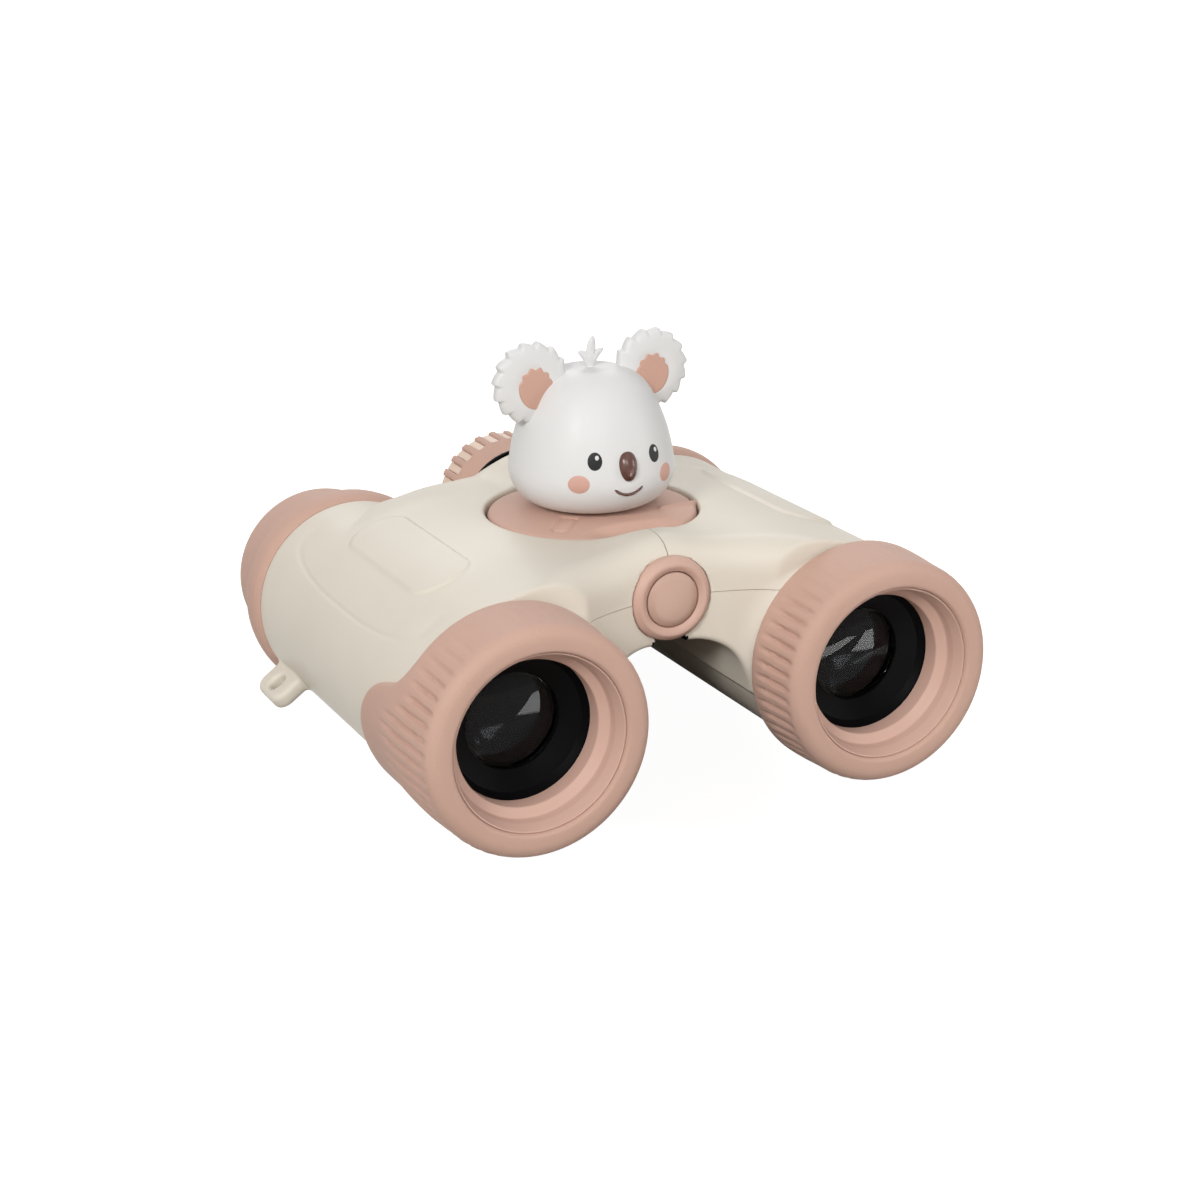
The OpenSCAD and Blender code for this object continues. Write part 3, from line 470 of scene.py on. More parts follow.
def maths(tree: Tree, operation: str, *values: Socket | float) -> Socket:
    """Adds a maths node.

    Args:
        tree: The tree that it stands in.
        operation: What it works out.
        values: Sockets or plain numbers, in the order of its inputs.

    Returns:
        The socket of its result.
    """
    node = tree.nodes.new("ShaderNodeMath")
    node.operation = operation
    for socket, value in zip(node.inputs, values):
        if isinstance(value, Socket):
            tree.links.new(value, socket)
        else:
            socket.default_value = value
    return node.outputs[0]


def ranged(tree: Tree, value: Socket, start: Point, end: Point,
           smooth: bool = False) -> Socket:
    """Adds a node that takes a value from one range to another.

    Args:
        tree: The tree that it stands in.
        value: Socket of the value.
        start: Range that the value comes from.
        end: Range that it goes to.
        smooth: Whether it eases in and out.

    Returns:
        The socket of its result.
    """
    node = tree.nodes.new("ShaderNodeMapRange")
    node.interpolation_type = "SMOOTHSTEP" if smooth else "LINEAR"
    for words, numbers in ((("From Min", "From Max"), start), (("To Min", "To Max"), end)):
        for word, number in zip(words, numbers):
            node.inputs[word].default_value = number
    tree.links.new(value, node.inputs["Value"])
    return node.outputs["Result"]


def tinted(tree: Tree, share: Socket, first: Tone, second: Tone) -> Socket:
    """Adds a node that mixes two tones.

    Args:
        tree: The tree that it stands in.
        share: Socket of the second tone's share.
        first: Tone at a share of 0.
        second: Tone at a share of 1.

    Returns:
        The socket of the mixed colour.
    """
    factor, colour_a, colour_b, colour_out = 0, 6, 7, 2
    node = tree.nodes.new("ShaderNodeMix")
    node.data_type = "RGBA"
    node.inputs[colour_a].default_value = linear(first)
    node.inputs[colour_b].default_value = linear(second)
    tree.links.new(share, node.inputs[factor])
    return node.outputs[colour_out]


def new_group(name: str, inputs: dict[str, str], outputs: dict[str, str]) -> tuple[Tree, bool]:
    """Makes a shader node group with named sockets.

    Args:
        name: Name of the group.
        inputs: Socket type of each input.
        outputs: Socket type of each output.

    Returns:
        The group, and whether it is new.
    """
    found = bpy.data.node_groups.get(name)
    if found:
        return found, False
    group = bpy.data.node_groups.new(name, "ShaderNodeTree")
    for word, kind in inputs.items():
        group.interface.new_socket(word, in_out="INPUT", socket_type=kind)
    for word, kind in outputs.items():
        group.interface.new_socket(word, in_out="OUTPUT", socket_type=kind)
    return group, True


def add_group(tree: Tree, group: Tree, values: dict[str, float]) -> bpy.types.Node:
    """Places a group in a material with its own values.

    Args:
        tree: The material's tree.
        group: The group.
        values: Value of each of its inputs.

    Returns:
        The node that holds the group.
    """
    node = tree.nodes.new("ShaderNodeGroup")
    node.node_tree = group
    for word, value in values.items():
        node.inputs[word].default_value = value
    return node


def scaled_noise(group: Tree, start: bpy.types.Node, kind: str) -> bpy.types.Node:
    """Adds a texture to a group, with its cells as large as the group's Size input.

    Args:
        group: The group.
        start: The group's input node.
        kind: Which texture node.

    Returns:
        The texture node.
    """
    texture = group.nodes.new(kind)
    group.links.new(maths(group, "DIVIDE", 1.0, start.outputs["Size"]), texture.inputs["Scale"])
    group.links.new(start.outputs["Vector"], texture.inputs["Vector"])
    return texture


def mould_flow() -> Tree:
    """Slow changes of tone and gloss over a moulded surface.

    Returns:
        Group with the outputs Tone and Gloss, from 0 to 1.
    """
    group, new = new_group("Mould flow", {"Vector": "NodeSocketVector", "Size": "NodeSocketFloat"},
                           {"Tone": "NodeSocketFloat", "Gloss": "NodeSocketFloat"})
    if not new:
        return group
    detail, middle, deepest = 3.0, (0.3, 0.7), 0.8
    start = group.nodes.new("NodeGroupInput")
    end = group.nodes.new("NodeGroupOutput")
    noise = scaled_noise(group, start, "ShaderNodeTexNoise")
    noise.inputs["Detail"].default_value = detail
    tone = ranged(group, noise.outputs["Fac"], middle, (deepest, 1.0))
    group.links.new(tone, end.inputs["Tone"])
    group.links.new(noise.outputs["Fac"], end.inputs["Gloss"])
    return group


def fine_grain() -> Tree:
    """Fine spark-eroded grain of a mould, with dark specks between the grains.

    Returns:
        Group with the outputs Height and Tone.
    """
    group, new = new_group(
        "Fine grain",
        {"Vector": "NodeSocketVector", "Size": "NodeSocketFloat", "Speck": "NodeSocketFloat"},
        {"Height": "NodeSocketFloat", "Tone": "NodeSocketFloat"},
    )
    if not new:
        return group
    cell_share = -0.6
    start = group.nodes.new("NodeGroupInput")
    end = group.nodes.new("NodeGroupOutput")
    cells = scaled_noise(group, start, "ShaderNodeTexVoronoi").outputs["Distance"]
    noise = scaled_noise(group, start, "ShaderNodeTexNoise").outputs["Fac"]
    group.links.new(maths(group, "MULTIPLY_ADD", cells, cell_share, noise), end.inputs["Height"])
    fade = maths(group, "MULTIPLY", start.outputs["Speck"], -1.0)
    group.links.new(maths(group, "MULTIPLY_ADD", cells, fade, 1.0), end.inputs["Tone"])
    return group


SHELL_BEIGE = Finish("shell_beige", Slot.SHELL, (222, 214, 200), (209, 200, 185), (0.4, 0.5), 0.3, 0.004,
                     0.05, coat=0.06, specular=0.20)
SOFT_PINK = Finish("soft_pink", Slot.SOFT, (206, 170, 154), (184, 145, 128), (0.55, 0.68), 0.17, 0.02, 0.3,
                   sheen=0.1, specular=0.20)
SATIN_PINK = Finish("satin_pink", Slot.SOFT, (208, 173, 158), (192, 154, 138), (0.36, 0.46), 0.25, 0.005, 0.1,
                    specular=0.25)
DISC_PINK = Finish("disc_pink", Slot.SOFT, (196, 163, 147), (182, 148, 132), (0.4, 0.5), 0.25, 0.005, 0.1)
PAD_BEIGE = Finish("wheel_pad_beige", Slot.SHELL, (228, 203, 183), (212, 185, 164), (0.4, 0.5), 0.25, 0.004,
                   0.08)
MATT_BLACK = Finish("matt_black", Slot.BLACK, (5, 5, 6), (3, 3, 3), (0.42, 0.55), 0.2, 0.008, 0.2,
                    specular=0.05)
LENS_GLASS = Finish("clear_lens", Slot.GLASS, (128, 134, 138), (122, 128, 133), (0.0, 0.0), 1.0, 0.0, 0.0,
                    transmission=1.0, ior=1.2)
BRIGHT_STEEL = Finish("bright_steel", Slot.STEEL, (190, 192, 195), (150, 152, 156), (0.22, 0.36), 0.4, 0.004,
                      0.1, metallic=1.0)
HEAD_WHITE = Finish("koala_white", Slot.HEAD, (221, 220, 219), (211, 210, 208), (0.42, 0.52), 0.3, 0.003,
                    0.04, coat=0.05, specular=0.30)
EAR_PINK = Finish("inlay_pink", Slot.EAR, (198, 157, 140), (184, 142, 125), (0.5, 0.6), 0.2, 0.006, 0.12)
NOSE_BROWN = Finish("gloss_brown", Slot.NOSE, (88, 50, 38), (60, 32, 24), (0.22, 0.32), 0.3, 0.003, 0.1,
                    coat=0.15)
EYE_DARK = Finish("eye_dark", Slot.NOSE, (30, 30, 30), (20, 20, 20), (0.42, 0.5), 0.3, 0.002, 0.05,
                  specular=0.25)
CHEEK_PINK = Finish("cheek_pink", Slot.EAR, (205, 160, 145), (194, 147, 132), (0.45, 0.55), 0.2, 0.003, 0.08)


def volume(points: Array, faces: Sequence[Sequence[int]]) -> float:
    """Volume inside the four-sided faces of a closed shape.

    Args:
        points: The shape's points.
        faces: Its faces, of which other than four-sided ones are left out.

    Returns:
        The volume, below zero if the faces look inward.
    """
    quads = np.array([[f[0], f[1], f[2], f[3]] for f in faces if len(f) == 4])
    a, b, c, d = (points[quads[:, i]] - points.mean(0) for i in range(4))
    return float((np.cross(a, b) * c).sum() + (np.cross(a, c) * d).sum()) / 6


def piece(name: str, shape: Shape, finish: Finish, body: str,
          replaces: Sequence[str] = (), side: Side = Side.RIGHT, crease: float = 32.0) -> bpy.types.Object:
    """Makes a piece from a shape in the drawing frame and hangs it on its body.

    Args:
        name: Name of the piece.
        shape: Points in millimetres and faces.
        finish: What its surface is.
        body: The body that it moves with.
        replaces: Nodes that it stands for.
        side: The left side mirrors the shape.
        crease: Angle in degrees above which an edge stays sharp.

    Returns:
        The new object.
    """
    points, faces = np.array(shape[0], float), shape[1]
    if side is Side.LEFT:
        points = points * np.array([-1.0, 1.0, 1.0])
    if volume(points, faces) < 0:
        faces = [list(reversed(f)) for f in faces]
    mesh = bpy.data.meshes.new(name)
    mesh.from_pydata(DATUM.place(points).tolist(), [], faces)
    mesh.validate()
    mesh.shade_smooth()
    mesh.set_sharp_from_angle(angle=math.radians(crease))
    mesh.materials.append(finish.material())
    made = bpy.data.objects.new(name, mesh)
    bpy.context.scene.collection.objects.link(made)
    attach(made, body)
    if replaces:
        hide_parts(*replaces)
    LOG.info("%s: %d faces on %s", name, len(faces), body)
    return made


def dress(node: str, finish: Finish) -> None:
    """Gives a node of the frame its finish.

    Args:
        node: Name of the node.
        finish: What its surface is.
    """
    mesh = frame["nodes"][node].data
    mesh.materials.clear()
    mesh.materials.append(finish.material())
    LOG.info("%s dressed in %s", node, finish.name)


@dataclass
class BodyShell:
    """The two halves of the body with their lower covers and hinge knuckles."""

    barrel_r: float = 16.8
    bore_r: float = 14.8
    barrel_front: float = 1.5
    barrel_round: float = 0.7
    flare: float = 0.2
    flare_from: float = 60.0
    bridge_top: float = 20.0
    flat_half: float = 17.0
    top_arc_r: float = 44.8
    nose_y: float = 16.5
    nose_sweep: float = 32.5
    nose_round: float = 5.6
    bridge_rear: float = 71.5
    rear_round: float = 3.2
    rear_step: float = 2.0
    rear_step_x: Point = (12.0, 20.0)
    shoulder_front: float = 12.0
    shoulder_round: float = 0.5
    under_z: float = 4.8
    under_round: float = 0.9
    arch_r: float = 10.0
    arch_overlap: float = 0.3
    well_r: float = 17.5
    well_flare: float = 0.9
    well_round: float = 0.7
    well_floor: float = 2.0
    front_rise: float = 1.6
    front_rise_half: float = 6.2
    front_rise_y: Point = (30.0, 24.0)
    rear_hump_r: float = 10.4
    hump_taper: float = 1.2
    hump_round: float = 1.0
    hump_inset: float = 0.5
    hump_blend: float = 2.2
    tail_drop: float = 2.2
    tail_y: Point = (60.0, 75.0)
    tail_x: Point = (9.0, 24.0)
    least_blend: float = 0.08
    barrel_blend: float = 3.6
    blend_z: Point = (18.0, 13.0)
    blend_x: float = 4.0
    knuckle_r: float = 6.0
    knuckle_bore: float = 2.6
    knuckle_gap: float = 0.3
    cap_room: float = 6.84
    cap_seat: float = 17.05
    seam: float = 0.1
    fold_gap: float = 3.0
    parting: float = 0.05
    cover_inset: float = 4.0
    cover_gap: float = 0.06
    cover_low: tuple[float, float, float] = (-0.6, 8.0, -6.0)
    cover_rear: float = 77.0
    barrel_skin: float = 0.02
    painted_bore: float = 0.2
    gap_shade_width: float = 0.3
    lug_y: float = 68.3
    lug_reach: float = 6.0
    lug_half: Point = (3.9, 5.0)
    lug_corner: float = 2.4
    lug_t: float = 2.8
    lug_round: float = 1.1
    lug_hole: float = 1.5
    lug_blend: float = 0.9
    lug_angle: float = 35.0
    pad_middle: Point = (32.5, 42.9)
    pad_half: Point = (4.8, 16.4)
    pad_corner: float = 4.2
    pad_rise: float = 0.46
    pad_edge: Point = (0.4, -0.36)
    pad_z: Point = (8.0, 12.0)
    panel_middle: float = 43.8
    panel_half: float = 25.5
    panel_low: float = 10.3
    panel_corner: float = 5.5
    panel_power: float = 2.5
    panel_start: Point = (4.0, 8.0)
    panel_end: Point = (21.0, 17.0)
    panel_depth: float = 0.21
    panel_width: float = 0.28
    step: float = 0.36
    margin: float = 1.2
    seam_margin: float = 0.6
    room_out: float = 20.5
    room_top: float = 25.0

    def panel_line(self, x: Array, y: Array, z: Array) -> Array:
        """Height of the soft panel edge that runs round the outer side of the shoulder.

        Args:
            x: Place across the bridge.
            y: Place along the barrels.
            z: Height over the barrel axes.

        Returns:
            The height, below zero in the line.
        """
        round_way = np.arctan2(z, x - DATUM.half_spacing) * self.barrel_r
        across = np.maximum((self.panel_low + self.panel_corner - round_way) / self.panel_corner, 0)
        along = np.abs(y - self.panel_middle) / self.panel_half
        power = self.panel_power
        gap = ((along ** power + across ** power) ** (1 / power) - 1) * self.panel_corner
        seen = ease(*self.panel_start, round_way) * ease(*self.panel_end, round_way)
        return -self.panel_depth * seen * np.exp(-(gap / self.panel_width) ** 2)

    def lug(self, x: Array, y: Array, z: Array) -> Array:
        """Strap lug on the lower outer side, with its hole.

        Args:
            x: Place across the bridge.
            y: Place along the barrels.
            z: Height over the barrel axes.

        Returns:
            Signed distance, below zero inside.
        """
        turn = math.radians(self.lug_angle)
        out = (x - DATUM.half_spacing) * math.cos(turn) - z * math.sin(turn)
        up = (x - DATUM.half_spacing) * math.sin(turn) + z * math.cos(turn)
        tip = self.barrel_r + self.lug_reach
        flat = round_box(out - tip + self.lug_half[0], y - self.lug_y, self.lug_half, self.lug_corner)
        eye = self.lug_hole - np.hypot(out - tip + self.lug_reach / 2, y - self.lug_y)
        plate = smooth_max(flat, np.abs(up) - self.lug_t / 2, self.lug_round)
        return smooth_max(plate, eye, self.lug_blend)

    def barrel(self, x: Array, y: Array, z: Array) -> Array:
        """Round barrel, a little wider at its rear.

        Args:
            x: Place across the bridge.
            y: Place along the barrels.
            z: Height over the barrel axes.

        Returns:
            Signed distance, below zero inside.
        """
        middle = (self.barrel_front + DATUM.barrel_end) / 2
        side = np.hypot(x - DATUM.half_spacing, z) - self.barrel_r
        side = side - self.flare * ease(self.flare_from, DATUM.barrel_end, y)
        return smooth_max(side, np.abs(y - middle) - DATUM.barrel_end + middle, self.barrel_round)

    def bridge(self, x: Array, y: Array, z: Array) -> Array:
        """Bridge between the barrels, with a swept nose and an arch below.

        Args:
            x: Place across the bridge.
            y: Place along the barrels.
            z: Height over the barrel axes.

        Returns:
            Signed distance, below zero inside.
        """
        spacing = DATUM.half_spacing
        lowered = z + self.tail_drop * ease(*self.tail_y, y) * ease(*self.tail_x, x)
        hump = self.front_rise * np.exp(-(x / self.front_rise_half) ** 2)
        lowered = lowered - hump * ease(*self.front_rise_y, y)
        arc_z = self.bridge_top - self.top_arc_r
        top = np.where(x < self.flat_half, lowered - self.bridge_top,
                       np.hypot(x - self.flat_half, lowered - arc_z) - self.top_arc_r)
        arch_z = self.under_z - self.arch_r
        arch_x = spacing - math.sqrt((self.arch_r + self.barrel_r) ** 2 - arch_z ** 2)
        under = np.where(x < arch_x, self.under_z - z, self.arch_r - np.hypot(x - arch_x, z - arch_z))
        foot = self.barrel_r * arch_z / (self.arch_r + self.barrel_r) - self.arch_overlap
        front = self.nose_sweep - np.hypot(x, y - self.nose_y + self.nose_sweep)
        made = smooth_max(top, front, self.nose_round)
        rear = y - self.bridge_rear - self.rear_step * ease(*self.rear_step_x, x)
        made = smooth_max(made, rear, self.rear_round)
        made = smooth_max(made, under, self.under_round)
        reach = self.top_arc_r - self.barrel_r
        past = ((spacing - x) * arc_z - z * (spacing - self.flat_half)) / reach
        made = np.maximum(np.maximum(made, foot - z), past)
        return smooth_max(made, self.shoulder_front - y, self.shoulder_round)

    def rear_hump(self, x: Array, y: Array, z: Array) -> Array:
        """Hump round the hinge behind the head.

        Args:
            x: Place across the bridge.
            y: Place along the barrels.
            z: Height over the barrel axes.

        Returns:
            Signed distance, below zero inside.
        """
        taper = ease(self.bridge_rear - 1, DATUM.head_y + self.well_r, y)
        wide = self.rear_hump_r - self.hump_taper * taper
        from_hinge = np.hypot(x, z - DATUM.hinge_rise)
        made = smooth_max(from_hinge - wide, y - self.bridge_rear + self.hump_inset, self.hump_round)
        made = np.maximum(made, DATUM.head_y - y)
        return np.maximum(made, DATUM.hinge_rise - self.hump_inset - z)

    def whole(self, x: Array, y: Array, z: Array) -> Array:
        """One half of the body before it is split: barrel, bridge, hump, pad and lug.

        Args:
            x: Place across the bridge.
            y: Place along the barrels.
            z: Height over the barrel axes.

        Returns:
            Signed distance, below zero inside.
        """
        spacing = DATUM.half_spacing
        bridge = smooth_min(self.bridge(x, y, z), self.rear_hump(x, y, z), self.hump_blend)
        inner = ease(*self.blend_z, z) * ease(spacing, spacing - self.blend_x, x)
        made = smooth_min(bridge, self.barrel(x, y, z), self.least_blend + self.barrel_blend * inner)
        pad = round_box(x - self.pad_middle[0], y - self.pad_middle[1], self.pad_half, self.pad_corner)
        made = made - self.pad_rise * ease(*self.pad_edge, pad) * ease(*self.pad_z, z)
        made = made - self.panel_line(x, y, z)
        made = smooth_min(made, self.lug(x, y, z), self.lug_blend)
        rim = self.well_r + self.well_flare * np.maximum(0, z - self.bridge_top)
        well = rim - np.hypot(x, y - DATUM.head_y)
        made = smooth_max(made, np.minimum(well, z - self.under_z - self.well_floor), self.well_round)
        from_hinge = np.hypot(x, z - DATUM.hinge_rise)
        tunnel = self.knuckle_r + self.knuckle_gap - from_hinge
        recess = np.minimum(self.cap_room - from_hinge, self.cap_seat - y)
        return np.maximum(made, np.maximum(tunnel, recess))

    def bore(self, x: Array, y: Array, z: Array) -> Array:
        """Inside of the barrel."""
        return self.bore_r - np.hypot(x - DATUM.half_spacing, z)

    def upper_part(self, x: Array, y: Array, z: Array) -> Array:
        """Room of the body, above the parting line, on the barrel or outside it."""
        barrel = np.hypot(x - DATUM.half_spacing, z) - self.barrel_r - self.barrel_skin
        return np.minimum(np.minimum(DATUM.hinge_rise + self.parting - z, barrel), DATUM.half_spacing - x)

    def lower_part(self, x: Array, y: Array, z: Array) -> Array:
        """Room of the lower cover, clear of the barrel."""
        barrel = self.barrel_r + self.cover_gap - np.hypot(x - DATUM.half_spacing, z)
        return np.maximum(barrel, x - DATUM.half_spacing + self.cover_inset)

    def fold_face(self, x: Array, z: Array) -> Array:
        """Distance across the slanted face of the folding gap, above zero in the gap."""
        slant = (self.fold_gap - self.seam) / (DATUM.hinge_rise - self.under_z)
        return self.seam + slant * (DATUM.hinge_rise - z) - x

    def build(self) -> None:
        """Makes both halves, their covers and the knuckles between them."""
        low = (-self.seam_margin, self.barrel_front - self.margin, -self.barrel_r - self.margin)
        high = (DATUM.half_spacing + self.room_out, DATUM.barrel_end + self.margin, self.room_top)
        body = contour([self.whole, self.bore, self.upper_part, lambda x, y, z: self.seam - x],
                       low, high, self.step)
        lean = math.hypot(1, (self.fold_gap - self.seam) / (DATUM.hinge_rise - self.under_z))
        cover = contour([
            self.whole, self.lower_part,
            lambda x, y, z: z - DATUM.hinge_rise + self.parting,
            lambda x, y, z: self.fold_face(x, z) / lean,
        ], self.cover_low, (DATUM.half_spacing, self.cover_rear, DATUM.hinge_rise + 1), self.step)
        for side in Side:
            shell = piece(f"{side.word}_body_shell", body, SHELL_BEIGE, side.half,
                          [f"{side.word}_body"], side)
            painted_r = self.bore_r + self.painted_bore
            self.blacken(shell, lambda x, z: np.hypot(x - DATUM.half_spacing, z) < painted_r)
            under = piece(f"{side.word}_under_cover", cover, SHELL_BEIGE, side.half,
                          [f"{side.word}_lower_cover"], side)
            # Painted shade: the cover's faces along the folding gap are black, standing in for the deep shade
            # in the gap.
            self.blacken(under, lambda x, z: self.fold_face(x, z) > -self.gap_shade_width)
            self.knuckles(side)

    def blacken(self, shell: bpy.types.Object, hidden: Callable[[Array, Array], Array]) -> None:
        """Paints faces black that only show inside a barrel, which is black inside, or in the folding gap,
        where the black is painted shade.

        Args:
            shell: The piece.
            hidden: Test of the faces' x, made positive, and z in the drawing frame.
        """
        shell.data.materials.append(MATT_BLACK.material())
        middle = np.empty(3 * len(shell.data.polygons))
        shell.data.polygons.foreach_get("center", middle)
        middle = (middle.reshape(-1, 3) - DATUM.place(np.zeros((1, 3)))) / MM
        black = hidden(np.abs(middle[:, 0]), middle[:, 2])
        shell.data.polygons.foreach_set("material_index", black.astype(np.int32))

    def knuckles(self, side: Side) -> None:
        """Makes the hinge knuckles of one half, in black that paints the deep shade where the folding gap
        shows them.

        Args:
            side: Which half.
        """
        well_front = DATUM.head_y - self.well_r
        well_back = DATUM.head_y + self.well_r
        front_len = (well_front - self.cap_seat) / 2
        rear_len = (self.bridge_rear - well_back) / 2
        second = side is Side.RIGHT
        starts = [(self.cap_seat + front_len * second, front_len), (well_back + rear_len * second, rear_len)]
        rings = []
        for start, length in starts:
            a = start + self.knuckle_gap / 2
            b = start + length - self.knuckle_gap / 2
            ring = fillet([(self.knuckle_bore, a, 0.2), (self.knuckle_r, a, 0.5),
                           (self.knuckle_r, b, 0.5), (self.knuckle_bore, b, 0.2)])
            rings.append(revolve(ring, (0, DATUM.hinge_rise), 64))
        # Painted shade: the knuckles' black stands in for the deep shade in the folding gap.
        piece(f"{side.word}_hinge_knuckles", joined(rings), MATT_BLACK, side.half)


@dataclass
class GripRing:
    """Soft ring round the front of each barrel, with ribs and a lobe along the outer side."""

    bore_r: float = 16.85
    front_r: float = 18.05
    rear_r: float = 18.45
    swell_y: Point = (1.5, 10.0)
    opening_r: float = 13.92
    opening_round: float = 0.7
    lip_front: float = -0.7
    lip_round: float = 2.4
    crown_r: float = 15.6
    crown_curve: float = 0.024
    seat: float = 1.45
    rear: float = 11.8
    edge_round: float = 1.1
    rib_count: int = 53
    rib_depth: float = 0.66
    rib_power: float = 1.3
    rib_y: Point = (0.4, 2.6)
    rib_inset: float = 1.0
    rib_fade: float = 4.5
    rib_on_lobe: float = 8.5
    rib_lobe_fade: float = 2.5
    rib_least: float = 0.12
    rib_below: Point = (158.0, 112.0)
    lobe_rear: float = 26.6
    lobe_half: float = 13.9
    lobe_corner: float = 10.5
    lobe_angle: float = 25.0
    lobe_span: Point = (48.0, 30.0)
    lobe_r: float = 18.15
    lobe_y: Point = (12.0, 20.0)
    lobe_lead: float = 12.0
    lobe_blend: float = 7.5
    crease: float = 50.0
    step: float = 0.36
    margin: float = 1.0

    def outline(self, angle: Array, y: Array) -> Array:
        """Distance past the ring's rear edge, unrolled round the barrel.

        Args:
            angle: Angle round the barrel in degrees.
            y: Place along the barrel.

        Returns:
            Signed distance, below zero on the ring.
        """
        round_way = np.radians(wrapped(angle + self.lobe_angle)) * self.bore_r
        half_y = (self.lobe_rear + self.lobe_lead) / 2
        lobe = round_box(round_way, y - self.lobe_rear + half_y, (self.lobe_half, half_y), self.lobe_corner)
        return smooth_min(y - self.rear, lobe, self.lobe_blend)

    def ribs(self, angle: Array, y: Array) -> Array:
        """Depth of the valleys between the ribs, shallow on top and longer on the lobe.

        Args:
            angle: Angle round the barrel in degrees.
            y: Place along the barrel.

        Returns:
            The depth.
        """
        valley = np.maximum(0, -np.cos(np.radians(angle) * self.rib_count)) ** self.rib_power
        below = ease(*self.rib_below, np.abs(wrapped(angle + 90)))
        on_lobe = ease(*self.lobe_span, np.abs(wrapped(angle + self.lobe_angle)))
        last = self.rear - self.rib_inset + self.rib_on_lobe * on_lobe
        fade = last - self.rib_fade - self.rib_lobe_fade * on_lobe
        deep = self.rib_depth * valley * ease(*self.rib_y, y) * ease(last, fade, y)
        return deep * (self.rib_least + (1 - self.rib_least) * below)

    def field(self, x: Array, y: Array, z: Array) -> Array:
        """The ring on the right barrel.

        Args:
            x: Place across the bridge.
            y: Place along the barrels.
            z: Height over the barrel axes.

        Returns:
            Signed distance, below zero inside.
        """
        out = x - DATUM.half_spacing
        r = np.hypot(out, z)
        angle = np.degrees(np.arctan2(z, out))
        wide = self.front_r + (self.rear_r - self.front_r) * ease(*self.swell_y, y)
        wide = wide + (self.lobe_r - self.rear_r) * ease(*self.lobe_y, y)
        crown = self.lip_front - y + self.crown_curve * (r - self.crown_r) ** 2
        skin = smooth_max(r - wide + self.ribs(angle, y), crown, self.lip_round)
        skin = smooth_max(skin, self.outline(angle, y), self.edge_round)
        return smooth_max(skin, self.opening_r - r, self.opening_round)

    def off_barrel(self, x: Array, y: Array, z: Array) -> Array:
        """Room outside the barrel that the ring sits on."""
        r = np.hypot(x - DATUM.half_spacing, z)
        return np.minimum(self.bore_r - r, y - self.seat)

    def build(self) -> None:
        """Makes both rings."""
        reach = self.rear_r + self.margin
        low = (DATUM.half_spacing - reach, self.lip_front - self.margin, -reach)
        high = (DATUM.half_spacing + reach, self.lobe_rear + self.margin, reach)
        shape = contour([self.field, self.off_barrel], low, high, self.step)
        for side in Side:
            piece(f"{side.word}_soft_grip_ring", shape, SOFT_PINK, side.half,
                  [f"{side.word}_grip_ring"], side, self.crease)


